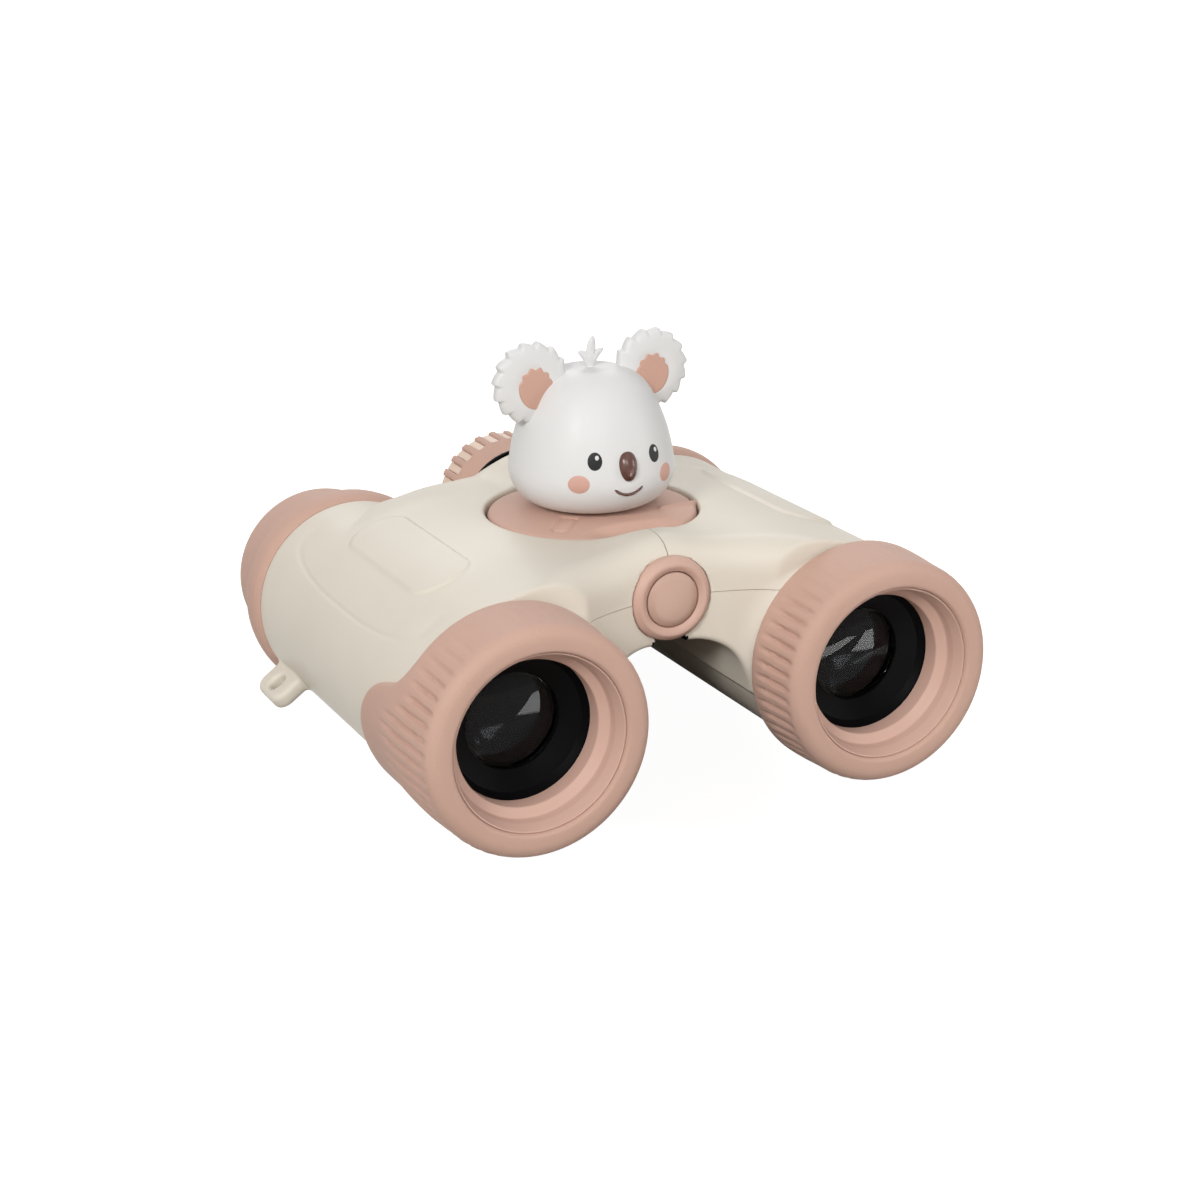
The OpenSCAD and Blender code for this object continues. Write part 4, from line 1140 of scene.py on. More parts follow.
@dataclass
class ObjectiveEnd:
    """Stepped hood, black cell, lens and its keeper in the front of each barrel."""

    opening_r: float = 13.86
    lip_len: float = 1.55
    step_r: float = 12.95
    step_y: Point = (1.9, 3.3)
    rear_r: float = 11.45
    rear_y: float = 4.4
    bore_r: float = 14.75
    hood_len: float = 7.3
    cell_len: float = 12.4
    lens_r: float = 7.95
    clear_r: float = 7.5
    lens_y: float = 10.4
    baffle_step_r: float = 10.6
    baffle_step_y: float = 8.6
    keeper_len: float = 2.0
    keeper_lip: float = 0.4
    lens_edge: float = 1.8
    lens_curve: float = 26.0
    gap: float = 0.05
    segments: int = 160
    lens_segments: int = 128

    def hood(self) -> list[Point]:
        """Profile of the stepped insert.

        Returns:
            The profile's points.
        """
        return fillet([
            (self.opening_r, 0.0, 0.15), (self.opening_r, self.lip_len, 0), (self.bore_r, self.lip_len, 0.1),
            (self.bore_r, self.hood_len, 0.1), (self.rear_r, self.hood_len, 0.15),
            (self.rear_r, self.rear_y, 0.22), (self.step_r - 0.1, self.step_y[1], 0.25),
            (self.step_r, self.step_y[0], 0.25), (self.opening_r - 0.25, 0.0, 0.15),
        ])

    def cell(self) -> list[Point]:
        """Profile of the black cell, with the one step of its baffle.

        Returns:
            The profile's points.
        """
        front = self.hood_len + 0.06
        rear = front + self.cell_len
        seat_r, seat_y = self.lens_r + 0.08, self.lens_y - self.gap
        return fillet([
            (self.clear_r + 0.1, self.lens_y - 0.4, 0.1),
            (self.baffle_step_r - 0.25, self.baffle_step_y, 0.1),
            (self.baffle_step_r, self.baffle_step_y - 0.1, 0.1), (self.rear_r, front + 0.1, 0.1),
            (self.rear_r, front, 0.03), (self.bore_r, front, 0.1), (self.bore_r, rear, 0.1),
            (seat_r, rear, 0.1), (seat_r, seat_y, 0), (self.clear_r, seat_y, 0.05),
        ], 4)

    def keeper(self) -> list[Point]:
        """Profile of the ring that holds the lens from behind.

        Returns:
            The profile's points.
        """
        front = self.lens_y + self.lens_edge + self.gap
        rear = front + self.keeper_len
        inner = self.clear_r - self.keeper_lip
        return fillet([(inner, front, 0.2), (self.lens_r, front, 0.1),
                       (self.lens_r, rear, 0.1), (inner, rear, 0.2)])

    def lens(self) -> list[Point]:
        """Profile of the lens, with two convex faces.

        Returns:
            The profile's points.
        """
        sag = self.lens_curve - math.sqrt(self.lens_curve ** 2 - self.clear_r ** 2)
        span = math.degrees(math.asin(self.clear_r / self.lens_curve))
        face = arc((0, self.lens_y - sag + self.lens_curve), self.lens_curve, 270, 270 + span, 16)
        edge_y = self.lens_y + self.lens_edge
        back = arc((0, edge_y + sag - self.lens_curve), self.lens_curve, 90 - span, 90, 16)
        return [*face, (self.lens_r, self.lens_y + 0.02), (self.lens_r, edge_y - 0.02), *back]

    def build(self) -> None:
        """Makes the pieces of both front ends."""
        axis = (DATUM.half_spacing, 0.0)
        rows = [
            ("stepped_hood", self.hood(), self.segments, SATIN_PINK, "hood_ring"),
            ("lens_cell", self.cell(), self.segments, MATT_BLACK, "objective_cell"),
            ("front_lens", self.lens(), self.lens_segments, LENS_GLASS, "objective_lens"),
            ("lens_keeper", self.keeper(), self.lens_segments, MATT_BLACK, "lens_retainer"),
        ]
        for side in Side:
            for word, profile, segments, finish, node in rows:
                piece(f"{side.word}_{word}", revolve(profile, axis, segments), finish, side.half,
                      [f"{side.word}_{node}"], side)


@dataclass
class Eyepiece:
    """Soft ring on the rear of each barrel and the sliding cup in it."""

    guide_r: float = 13.55
    guide_len: float = 5.0
    bore_r: float = 14.75
    barrel_r: float = 17.0
    ring_r: float = 17.95
    ring_len: float = 6.95
    ring_floor: float = 3.0
    cup_r: float = 15.6
    cup_gap: float = 0.4
    rim_r: float = 14.7
    hole_r: float = 11.4
    tube_r: float = 13.52
    cup_front: float = 81.05
    cup_rear: float = 93.7
    tube_rear: float = 88.05
    segments: int = 160

    def ring(self) -> list[Point]:
        """Profile of the ring, from its guide to its rounded rear edge.

        Returns:
            The profile's points.
        """
        end = DATUM.barrel_end
        front, floor, rear = end - self.guide_len, end + self.ring_floor, end + self.ring_len
        room = self.cup_r + self.cup_gap
        return fillet([
            (self.guide_r, front, 0.2), (self.bore_r, front, 0.2), (self.bore_r, end, 0),
            (self.barrel_r, end, 0.15), (self.ring_r - 0.3, end + 1.2, 0.5), (self.ring_r, floor, 0.8),
            (self.ring_r - 0.4, end + 5.6, 0.9), (self.ring_r - 1.3, rear, 0.9),
            (room, rear, 0.25), (room, floor, 0.2), (self.guide_r, floor, 0.2),
        ])

    def cup(self) -> list[Point]:
        """Profile of the eyecup with its soft rim.

        Returns:
            The profile's points.
        """
        return fillet([
            (self.tube_r, self.cup_front, 0.2), (self.cup_r, self.cup_front, 0.5),
            (self.cup_r - 0.35, self.cup_front + 6, 2.0), (self.rim_r + 0.05, self.cup_rear - 1.6, 1.2),
            (self.rim_r - 0.4, self.cup_rear, 1.2), (self.rim_r - 2.2, self.cup_rear - 0.1, 1.0),
            (self.hole_r + 0.6, self.tube_rear + 2.4, 1.2), (self.hole_r, self.tube_rear + 1.2, 0.6),
            (self.hole_r, self.tube_rear, 0.15), (self.tube_r, self.tube_rear, 0),
        ])

    def build(self) -> None:
        """Makes the rings and cups of both sides, and dresses what slides in them."""
        axis = (DATUM.half_spacing, 0.0)
        plain = {"eyepiece_tube": MATT_BLACK, "eye_lens": LENS_GLASS, "focus_arm": MATT_BLACK,
                 "cover_screws": BRIGHT_STEEL}
        for side in Side:
            name = side.word
            piece(f"{name}_soft_eye_ring", revolve(self.ring(), axis, self.segments), SOFT_PINK, side.half,
                  [f"{name}_eyepiece_ring"], side)
            piece(f"{name}_soft_eyecup", revolve(self.cup(), axis, self.segments), SOFT_PINK, side.eyepiece,
                  [f"{name}_eyecup"], side)
            for node, finish in plain.items():
                dress(f"{name}_{node}", finish)


@dataclass
class HingeCap:
    """Round cap on the front of the hinge, with a plug in its middle."""

    outer_r: float = 6.75
    plug_r: float = 4.43
    plug_gap: float = 0.1
    seat: float = 17.03
    rim_front: float = 15.75
    crown: float = 15.0
    dome_front: float = 0.12
    dome_drop: float = 0.3
    dome_r: float = 4.0
    segments: int = 128

    def rim(self) -> list[Point]:
        """Profile of the cap's ring.

        Returns:
            The profile's points.
        """
        inner = self.plug_r + self.plug_gap
        return fillet([
            (inner, self.seat, 0.1), (inner, self.crown + 0.55, 0.15),
            (self.plug_r + 0.75, self.crown + 0.1, 0.3),
            (self.outer_r - 1.0, self.crown - 0.02, 0.7), (self.outer_r, self.rim_front, 0.9),
            (self.outer_r, self.seat, 0.1),
        ], 6)

    def plug(self) -> list[Point]:
        """Profile of the plug, with a shallow dome.

        Returns:
            The profile's points.
        """
        front = self.crown - self.dome_front
        dome = [(r, front + self.dome_drop * (r / self.dome_r) ** 2) for r in (0.0, 1.0, 2.0, 3.0, 3.6)]
        edge = fillet([(self.plug_r, self.crown + 0.3, 0.4), (self.plug_r, self.seat, 0)])
        return [*dome, *edge, (0.0, self.seat)]

    def build(self) -> None:
        """Makes the cap's ring and plug, and dresses the pins behind them."""
        axis = (0.0, DATUM.hinge_rise)
        piece("hinge_cap_rim", revolve(self.rim(), axis, self.segments), SATIN_PINK, "left_half",
              ["hinge_cap_ring"])
        piece("hinge_cap_disc", revolve(self.plug(), axis, self.segments), DISC_PINK, "left_half",
              ["hinge_cap_plug"])
        dress("hinge_pin", BRIGHT_STEEL)
        dress("hinge_bush", BRIGHT_STEEL)


@dataclass
class FocusWheel:
    """Focus wheel: a hub with raised pads and a soft tyre whose fingers run back between them."""

    front: float = 71.9
    back: float = 81.9
    hub_r: float = 10.2
    hub_inset: float = 0.6
    hub_bore: float = 2.0
    boss: tuple[Point, ...] = (
        (6.6, 0.0), (6.5, 0.5), (6.2, 0.9), (5.6, 1.0), (4.9, 0.95), (4.5, 0.7),
        (0.0, 0.62), (0.0, 0.0), (2.0, 0.0),
    )
    pad_sink: float = 0.05
    pad_lift: float = 1.02
    pad_edge: Point = (-0.05, 0.06)
    pad_front: Point = (-0.1, 0.25)
    pad_rear: Point = (0.1, 1.0)
    rear_bevel: float = 0.5
    bevel_len: float = 0.8
    wheel_r: float = 11.5
    band: float = 4.3
    band_rise: float = 0.15
    band_swell: Point = (-0.5, 5.0)
    band_sink: float = 1.1
    band_step: Point = (0.1, -0.6)
    tyre_sink: float = 0.9
    tyre_sink_len: float = 1.0
    tyre_bore_round: float = 0.1
    tyre_round: float = 0.45
    finger_blend: float = 0.8
    # The black ring in front of the wheel is painted shade: it stands in for the shadow gap between the wheel
    # and the bridge.
    washer_r: float = 10.62
    shade_ring_bore: float = 6.6
    shade_ring_front: float = 71.0
    shade_ring_gap: float = 0.1
    fingers: int = 25
    finger_share: float = 0.46
    finger_lead: float = 1.0
    finger_end: float = 0.5
    finger_steps: int = 24
    rows: int = 44
    shade_ring_segments: int = 128
    step: float = 0.26
    margin: float = 0.6

    def hub(self) -> Shape:
        """Hub with a rounded pad between each two fingers.

        Returns:
            Points and faces.
        """
        steps = self.fingers * self.finger_steps
        turn = np.arange(steps) * TAU / steps
        near = np.abs(((turn * self.fingers / TAU) % 1.0) - 0.5) * 2
        band_end, back = self.front + self.band, self.back
        y = np.linspace(self.front + self.hub_inset, self.back, self.rows)
        pad = ease(self.finger_share + self.pad_edge[0], self.finger_share + self.pad_edge[1], near)[:, None]
        ahead = ease(band_end + self.pad_front[0], band_end + self.pad_front[1], y)
        behind = ease(back - self.pad_rear[0], back - self.pad_rear[1], y)
        r = self.hub_r - self.pad_sink + self.pad_lift * pad * (ahead * behind)[None, :]
        r = r - self.rear_bevel * ease(back - self.bevel_len, back, y)[None, :]
        r = r - self.band_sink * ease(band_end + self.band_step[0], band_end + self.band_step[1], y)[None, :]
        bore = np.full((steps, 1), self.hub_bore)
        r = np.concatenate([bore, r, np.tile([size for size, _ in self.boss], (steps, 1))], axis=1)
        y = np.concatenate([y[:1], y, [back + out for _, out in self.boss]])
        x = r * np.cos(turn)[:, None]
        z = DATUM.hinge_rise + r * np.sin(turn)[:, None]
        points = np.stack([x, np.broadcast_to(y, r.shape), z], axis=-1).reshape(-1, 3)
        return points, lattice(steps, len(y))

    def tyre_field(self, x: Array, y: Array, z: Array) -> Array:
        """Soft tyre: a plain band, wider to the rear, and round-ended fingers.

        Args:
            x: Place across the bridge.
            y: Place along the barrels.
            z: Height over the barrel axes.

        Returns:
            Signed distance, below zero inside.
        """
        out = z - DATUM.hinge_rise
        r = np.hypot(x, out)
        turn = np.arctan2(out, x) * self.fingers / TAU
        near = np.abs((turn % 1.0) - 0.5) * 2
        pitch = TAU * self.hub_r / self.fingers
        beside = (near - self.finger_share) * pitch / 2
        least, band_end = self.hub_r + self.band_rise, self.front + self.band
        swell = ease(self.front + self.band_swell[0], self.front + self.band_swell[1], y)
        wide = least + (self.wheel_r - self.hub_r - self.band_rise) * swell
        band = np.maximum(self.front - y, y - self.front - self.band)
        ends = np.maximum(self.front + self.finger_lead - y, y - self.back + self.finger_end)
        along = smooth_min(band, np.maximum(beside, ends), self.finger_blend)
        inner = self.hub_r - self.tyre_sink * ease(band_end, band_end - self.tyre_sink_len, y)
        skin = smooth_max(r - wide, along, self.tyre_round)
        return smooth_max(skin, inner - r, self.tyre_bore_round)

    def washer(self) -> list[Point]:
        """Profile of the black ring between the wheel and the bridge, painted shade that stands in for the
        shadow gap there.

        Returns:
            The profile's points.
        """
        rear = self.front - self.shade_ring_gap
        return fillet([
            (self.shade_ring_bore, self.shade_ring_front, 0.1), (self.washer_r, self.shade_ring_front, 0.25),
            (self.washer_r, rear, 0.25), (self.shade_ring_bore, rear, 0.1),
        ])

    def build(self) -> None:
        """Makes the black ring of painted shade, the hub and the tyre, and dresses the shaft and nut."""
        reach = self.wheel_r + self.margin
        low = (-reach, self.front - self.margin, DATUM.hinge_rise - reach)
        high = (reach, self.back + self.margin, DATUM.hinge_rise + reach)
        # Painted shade: a black ring where the wheel's shadow gap shows.
        washer = revolve(self.washer(), (0, DATUM.hinge_rise), self.shade_ring_segments)
        piece("focus_wheel_shade_ring", washer, MATT_BLACK, "left_half")
        piece("focus_wheel_hub", self.hub(), PAD_BEIGE, "focus_wheel", ["focus_hub"])
        piece("focus_wheel_tyre", contour([self.tyre_field], low, high, self.step), SOFT_PINK, "focus_wheel",
              ["focus_tyre"])
        dress("focus_shaft", BRIGHT_STEEL)
        dress("focus_nut", MATT_BLACK)


@dataclass
class HeadCollar:
    """Domed soft collar in the bridge's well, scooped out round the front hump."""

    outer_r: float = 17.05
    outer_round: float = 0.8
    neck_r: float = 5.0
    seat: float = 17.0
    rim_top: float = 19.6
    crown: float = 21.1
    flat_r: float = 7.0
    dome_power: float = 1.6
    dip: float = 1.5
    dip_x: float = 1.2
    dip_half: float = 6.6
    dip_y: Point = (-11.8, -13.8)
    tab_angle: float = -138.0
    tab_r: Point = (9.6, 13.4)
    tab_half: float = 1.25
    tab_line: Point = (0.28, 0.3)
    ridge_at: Point = (10.5, -7.4)
    ridge_slope: float = 0.42
    ridge_x: Point = (6.5, 9.0)
    ridge_y: Point = (-14.0, -9.0)
    ridge_line: Point = (0.55, 0.45)
    ridge_fade: Point = (6.5, 9.5)
    ridge_clear: Point = (8.5, 6.5)
    ridge_away: float = 3.0
    ridge_groove: float = 0.25
    groove_start: Point = (0.0, 1.2)
    groove_end: Point = (3.0, 0.0)
    step: float = 0.3

    def tongue(self, x: Array, back: Array) -> Array:
        """Distance to the U-shaped line of a small tab on the left of the front.

        Args:
            x: Place across the bridge.
            back: Place behind the head's axis.

        Returns:
            Signed distance, below zero inside the line.
        """
        turn = math.radians(self.tab_angle)
        out = x * math.cos(turn) + back * math.sin(turn)
        beside = back * math.cos(turn) - x * math.sin(turn)
        tip = np.hypot(np.maximum(out - self.tab_r[1], 0), beside) - self.tab_half
        return np.maximum(tip, self.tab_r[0] - out)

    def side_ridge(self, x: Array, back: Array) -> Array:
        """Height of the slanted ridge on the right and of the groove behind it.

        Args:
            x: Place across the bridge.
            back: Place behind the head's axis.

        Returns:
            The height, below zero in the groove.
        """
        width, rise = self.ridge_line
        behind = back - self.ridge_at[1] - self.ridge_slope * (x - self.ridge_at[0])
        behind = behind * ease(*self.ridge_fade, x) + self.ridge_away * ease(*self.ridge_clear, x)
        seen = ease(*self.ridge_x, x)
        groove = self.ridge_groove * ease(*self.groove_start, behind) * seen * ease(*self.groove_end, behind)
        return rise * np.exp(-(behind / width) ** 2) * seen * ease(*self.ridge_y, back) - groove

    def field(self, x: Array, y: Array, z: Array) -> Array:
        """The collar with its scoop, tongue and side ridge.

        Args:
            x: Place across the bridge.
            y: Place along the barrels.
            z: Height over the barrel axes.

        Returns:
            Signed distance, below zero inside.
        """
        back = y - DATUM.head_y
        r = np.hypot(x, back)
        slope = np.clip((r - self.flat_r) / (self.outer_r - self.flat_r), 0, 1)
        dip = self.dip * np.exp(-((x - self.dip_x) / self.dip_half) ** 4) * ease(*self.dip_y, back)
        top = z - self.crown + (self.crown - self.rim_top) * slope ** self.dome_power + dip
        made = smooth_max(top, r - self.outer_r, self.outer_round)
        width, depth = self.tab_line
        made = made + depth * np.exp(-(self.tongue(x, back) / width) ** 2) * ease(self.seat, self.rim_top, z)
        return np.maximum(made - self.side_ridge(x, back), self.neck_r - r)

    def build(self) -> None:
        """Makes the collar, and dresses the fastenings under it."""
        reach = self.outer_r + 1.15
        low = (-reach, DATUM.head_y - reach, self.seat - 0.8)
        high = (reach, DATUM.head_y + reach, self.crown + 1.0)
        shape = contour([self.field, lambda x, y, z: self.seat - z], low, high, self.step)
        piece("soft_head_collar", shape, SOFT_PINK, "left_half", ["head_collar"])
        dress("head_base", HEAD_WHITE)
        for node in ("collar_screws", "neck_washer", "neck_screw"):
            dress(node, BRIGHT_STEEL)


@dataclass
class KoalaHead:
    """Koala head that turns on the collar: shell, ears, nose, tuft and a plain friendly face."""

    low: float = 21.4
    top: float = 43.4
    wide: float = 13.45
    low_round: float = 5.85
    top_round: float = 7.5
    top_x: float = 3.2
    side_round: float = 30.0
    ear_at: Point = (10.6, 42.0)
    ear_r: float = 5.5
    ear_t: float = 3.2
    ear_back: float = 0.2
    ear_thin: Point = (3.2, 6.4)
    ear_thin_by: float = 0.5
    ear_dish: float = 0.5
    ear_dish_r: float = 4.5
    ear_round: float = 0.9
    fringe: int = 15
    fringe_root: float = 0.45
    fringe_len: float = 0.72
    fringe_lean: float = 0.2
    fringe_power: float = 0.8
    fringe_from: Point = (-2.3, -1.2)
    fringe_to: Point = (3.1, 2.5)
    flat_edge: float = 0.8
    inlay_shift: Point = (0.25, 0.6)
    inlay_r: float = 3.5
    inlay_narrow: float = 0.86
    inlay_fringe: int = 12
    inlay_ragged: float = 0.6
    inlay_round: float = 0.35
    inlay_from: Point = (0.1, 0.7)
    inlay_to: Point = (3.0, 2.4)
    inlay_depth: Point = (-0.02, 0.9)
    inlay_edge: float = 0.85
    over_top: float = 6.0
    ear_step: float = 0.24
    inlay_step: float = 0.2
    eye_at: Point = (5.6, 31.2)
    eye_half: Point = (1.2, 1.4)
    eye_rise: float = 0.1
    glint_shift: Point = (0.35, 0.55)
    glint_half: Point = (0.36, 0.4)
    glint_rise: float = 0.2
    cheek_at: Point = (8.2, 27.6)
    cheek_half: Point = (1.75, 1.45)
    cheek_rise: float = 0.12
    smile_half: float = 2.5
    smile_z: float = 25.5
    smile_curve: float = 1.1
    smile_r: float = 0.26
    nose_z: float = 30.0
    nose_half: tuple[float, float, float] = (1.58, 1.5, 2.4)
    nose_power: float = 0.85
    nose_swell: float = 0.12
    nose_sink: float = 0.4
    strands: tuple[tuple[float, float, float], ...] = ((-36.0, 3.5, 1.0), (6.0, 5.0, 1.1), (40.0, 3.7, 0.95))
    outline: list[Point] = field(default_factory=list)

    def __post_init__(self) -> None:
        """Works out the head's outline from its roundings."""
        low_mid = np.array([self.wide - self.low_round, self.low + self.low_round])
        top_mid = np.array([self.top_x, self.top - self.top_round])
        gap = np.linalg.norm(top_mid - low_mid)
        to_low, to_top = self.side_round - self.low_round, self.side_round - self.top_round
        along = (to_low ** 2 - to_top ** 2 + gap ** 2) / (2 * gap)
        way = (top_mid - low_mid) / gap
        middle = low_mid + along * way + math.sqrt(to_low ** 2 - along ** 2) * np.array([-way[1], way[0]])
        first = math.degrees(math.atan2(*(low_mid - middle)[::-1]))
        last = math.degrees(math.atan2(*(top_mid - middle)[::-1]))
        self.outline = [
            (0.0, self.low), *arc(tuple(low_mid), self.low_round, -90, first, 20)[:-1],
            *arc(tuple(middle), self.side_round, first, last, 20)[:-1],
            *arc(tuple(top_mid), self.top_round, last, 90, 24), (0.0, self.top),
        ]

    def radius(self, height: Array) -> Array:
        """Radius of the head at a height."""
        r, z = np.array(self.outline[1:-1]).T
        return np.interp(height, z, r)

    def on_face(self, around: Array, height: Array, proud: Array) -> Array:
        """Points on the head's front, at a distance round it and a height.

        Args:
            around: Distance round the face to the right, at the head's widest.
            height: Height in the drawing frame.
            proud: How far the points stand out from the skin.

        Returns:
            The points.
        """
        turn = np.asarray(around) / self.wide
        r = self.radius(height) + proud
        return np.stack([r * np.sin(turn), DATUM.head_y - r * np.cos(turn), np.asarray(height)], axis=-1)

    def spot(self, at: Point, half: Point, rise: float) -> Shape:
        """A flat round mark on the face, slightly domed.

        Args:
            at: Distance round the face and height of its middle.
            half: Half width and half height.
            rise: How far its middle stands proud.

        Returns:
            Points and faces.
        """
        rings, steps = 7, 48
        middle, flatness, edge, sunk = 0.02, 0.85, 0.2, -0.3
        turn = np.arange(steps) * TAU / steps
        shares = np.arange(rings) / rings
        rows = [(max(share, middle), rise * math.sqrt(1 - share ** 2 * flatness)) for share in shares]
        rows += [(1.0, rise * edge), (1.0, sunk), (middle, sunk)]
        points = []
        for share, proud in rows:
            points.append(self.on_face(at[0] + share * half[0] * np.cos(turn),
                                       at[1] + share * half[1] * np.sin(turn), proud))
        return np.concatenate(points), lattice(len(rows), steps)

    def smile(self) -> Shape:
        """A single soft smile line, round in section.

        Returns:
            Points and faces.
        """
        steps, sides, flatness = 28, 10, 0.7
        t = np.linspace(-1, 1, steps)
        line = self.on_face(self.smile_half * t, self.smile_z + self.smile_curve * t ** 2, np.zeros(steps))
        thick = self.smile_r * np.sqrt(np.clip(1 - np.abs(t) ** 6, 0.02, 1))
        points = []
        for i in range(steps):
            ahead = line[min(i + 1, steps - 1)] - line[max(i - 1, 0)]
            ahead /= np.linalg.norm(ahead)
            out = np.array([line[i][0], line[i][1] - DATUM.head_y, 0.0])
            out /= np.linalg.norm(out)
            across = np.cross(ahead, out)
            for a in np.arange(sides) * TAU / sides:
                points.append(line[i] + thick[i] * (math.cos(a) * across + flatness * math.sin(a) * out))
        return rod(points, steps, sides)

    def ear_field(self, x: Array, y: Array, z: Array) -> Array:
        """A fluffy ear: a round flap whose edge runs out in short leaning points.

        Args:
            x: Place across the bridge.
            y: Place along the barrels.
            z: Height over the barrel axes.

        Returns:
            Signed distance, below zero inside.
        """
        u, v = x - self.ear_at[0], z - self.ear_at[1]
        r = np.hypot(u, v)
        turn = np.arctan2(v, u)
        share = (turn / TAU * self.fringe) % 1.0
        lean = self.fringe_lean
        point = np.maximum(0, 1 - np.abs(share - lean) / np.where(share < lean, lean, 1 - lean))
        outer = ease(*self.fringe_from, turn) * ease(*self.fringe_to, turn)
        edge = r - self.ear_r - self.fringe_root - outer * self.fringe_len * point ** self.fringe_power
        thick = self.ear_t / 2 - self.ear_thin_by * ease(*self.ear_thin, r)
        dish = self.ear_dish * ease(self.ear_dish_r, 0.0, r)
        middle = y - DATUM.head_y + self.ear_back
        flap = np.maximum(middle - thick, -middle - thick + dish)
        return smooth_max(edge * self.flat_edge, flap, self.ear_round)

    def inlay_field(self, x: Array, y: Array, z: Array) -> Array:
        """Pink inlay of an ear, with a ragged upper edge.

        Args:
            x: Place across the bridge.
            y: Place along the barrels.
            z: Height over the barrel axes.

        Returns:
            Signed distance, below zero inside.
        """
        u = x - self.ear_at[0] + self.inlay_shift[0]
        v = z - self.ear_at[1] + self.inlay_shift[1]
        turn = np.arctan2(v, u)
        share = (turn / TAU * self.inlay_fringe) % 1.0
        upper = ease(*self.inlay_from, turn) * ease(*self.inlay_to, turn)
        ragged = upper * self.inlay_ragged * np.abs(share - 0.5) * 2
        edge = np.hypot(u / self.inlay_narrow, v) - self.inlay_r + ragged
        middle = y - DATUM.head_y + self.ear_back + self.ear_t / 2
        flat = np.maximum(self.inlay_depth[0] - middle, middle - self.inlay_depth[1])
        return smooth_max(edge * self.inlay_edge, flat, self.inlay_round)

    def outside(self, x: Array, y: Array, z: Array) -> Array:
        """Room outside the head, which the ears sit on."""
        gap = self.radius(np.clip(z, self.low, self.top)) - np.hypot(x, y - DATUM.head_y)
        return gap * self.flat_edge - self.over_top * ease(-1, 1, z - self.top)

    def strand(self, lean: float, length: float, thick: float) -> Shape:
        """One leaf-shaped strand of the tuft.

        Args:
            lean: Bend of its tip to the right in degrees.
            length: Its length over the head.
            thick: Its thickness.

        Returns:
            Points and faces.
        """
        steps, sides, root, flatness = 12, 14, 0.5, 0.55
        base, gain, taper, least = 0.55, 1.1, 0.6, 0.04
        points = []
        for t in np.arange(steps + 1) / steps:
            bend = math.radians(lean) * t
            width = thick * (base + gain * t) * max(1 - t, 0.0) ** taper + least
            x = math.sin(bend) * length * t
            z = self.top - root + math.cos(bend) * (length + root) * t
            for a in np.arange(sides) * TAU / sides:
                across = width * math.cos(a)
                points.append((x + across * math.cos(bend), DATUM.head_y + flatness * width * math.sin(a),
                               z - across * math.sin(bend)))
        made, faces = rod(points, steps + 1, sides)
        return made, [face[::-1] for face in faces]

    def nose(self) -> Shape:
        """Smooth oval nose, a little wider at its top.

        Returns:
            Points and faces.
        """
        rings, steps = 20, 40
        across, out, up = self.nose_half
        points = []
        for tilt in math.pi * np.arange(rings + 1) / rings:
            size = max(math.sin(tilt), 0.0) ** self.nose_power
            height = self.nose_z + up * math.cos(tilt)
            swell = 1 + self.nose_swell * math.cos(tilt)
            middle = DATUM.head_y - float(self.radius(height)) + self.nose_sink
            for a in np.arange(steps) * TAU / steps:
                y = middle + out * size * math.sin(a)
                points.append((across * size * swell * math.cos(a), y, height))
        return np.array(points), lattice(rings + 1, steps, closed=False)

    def build(self) -> None:
        """Makes the head and everything on it."""
        shell = revolve(self.outline[::-1], (0, DATUM.head_y), 160, upright=True)
        piece("koala_head", shell, HEAD_WHITE, "head", ["head_shell"])
        reach = self.ear_r + 2.6
        low = (self.ear_at[0] - reach, DATUM.head_y - 3.4, self.ear_at[1] - reach)
        high = (self.ear_at[0] + reach, DATUM.head_y + 3.0, self.ear_at[1] + reach)
        ear = contour([self.ear_field, self.outside], low, high, self.ear_step)
        inlay = contour([self.inlay_field, self.outside], low, high, self.inlay_step)
        for side in Side:
            name, sign = side.word, side.value
            piece(f"{name}_fluffy_ear", ear, HEAD_WHITE, "head", [f"{name}_ear"], side)
            piece(f"{name}_ear_inlay", inlay, EAR_PINK, "head", [f"{name}_ear_pad"], side)
            eye = (sign * self.eye_at[0], self.eye_at[1])
            glint = (eye[0] + self.glint_shift[0], eye[1] + self.glint_shift[1])
            cheek = (sign * self.cheek_at[0], self.cheek_at[1])
            piece(f"{name}_eye", self.spot(eye, self.eye_half, self.eye_rise), EYE_DARK, "head")
            piece(f"{name}_eye_glint", self.spot(glint, self.glint_half, self.glint_rise), HEAD_WHITE, "head")
            piece(f"{name}_cheek", self.spot(cheek, self.cheek_half, self.cheek_rise), CHEEK_PINK, "head")
        piece("oval_nose", self.nose(), NOSE_BROWN, "head", ["nose"])
        piece("smile", self.smile(), NOSE_BROWN, "head")
        tuft = joined([self.strand(*strand) for strand in self.strands])
        piece("hair_tuft_strands", tuft, HEAD_WHITE, "head", ["hair_tuft"])


@dataclass(frozen=True)
class Lamp:
    """A soft rectangular lamp: where it stands and its size in metres, and its power in watts."""

    name: str
    at: tuple[float, float, float]
    size: Point
    power: float

    def build(self, aim: Sequence[float]) -> None:
        """Hangs the lamp.

        Args:
            aim: The point that it faces.
        """
        data = bpy.data.lights.new(self.name, "AREA")
        data.shape = "RECTANGLE"
        data.size, data.size_y = self.size
        data.energy = self.power
        lamp = bpy.data.objects.new(self.name, data)
        lamp.location = self.at
        lamp.rotation_euler = (Vector(aim) - Vector(self.at)).to_track_quat("-Z", "Y").to_euler()
        bpy.context.scene.collection.objects.link(lamp)


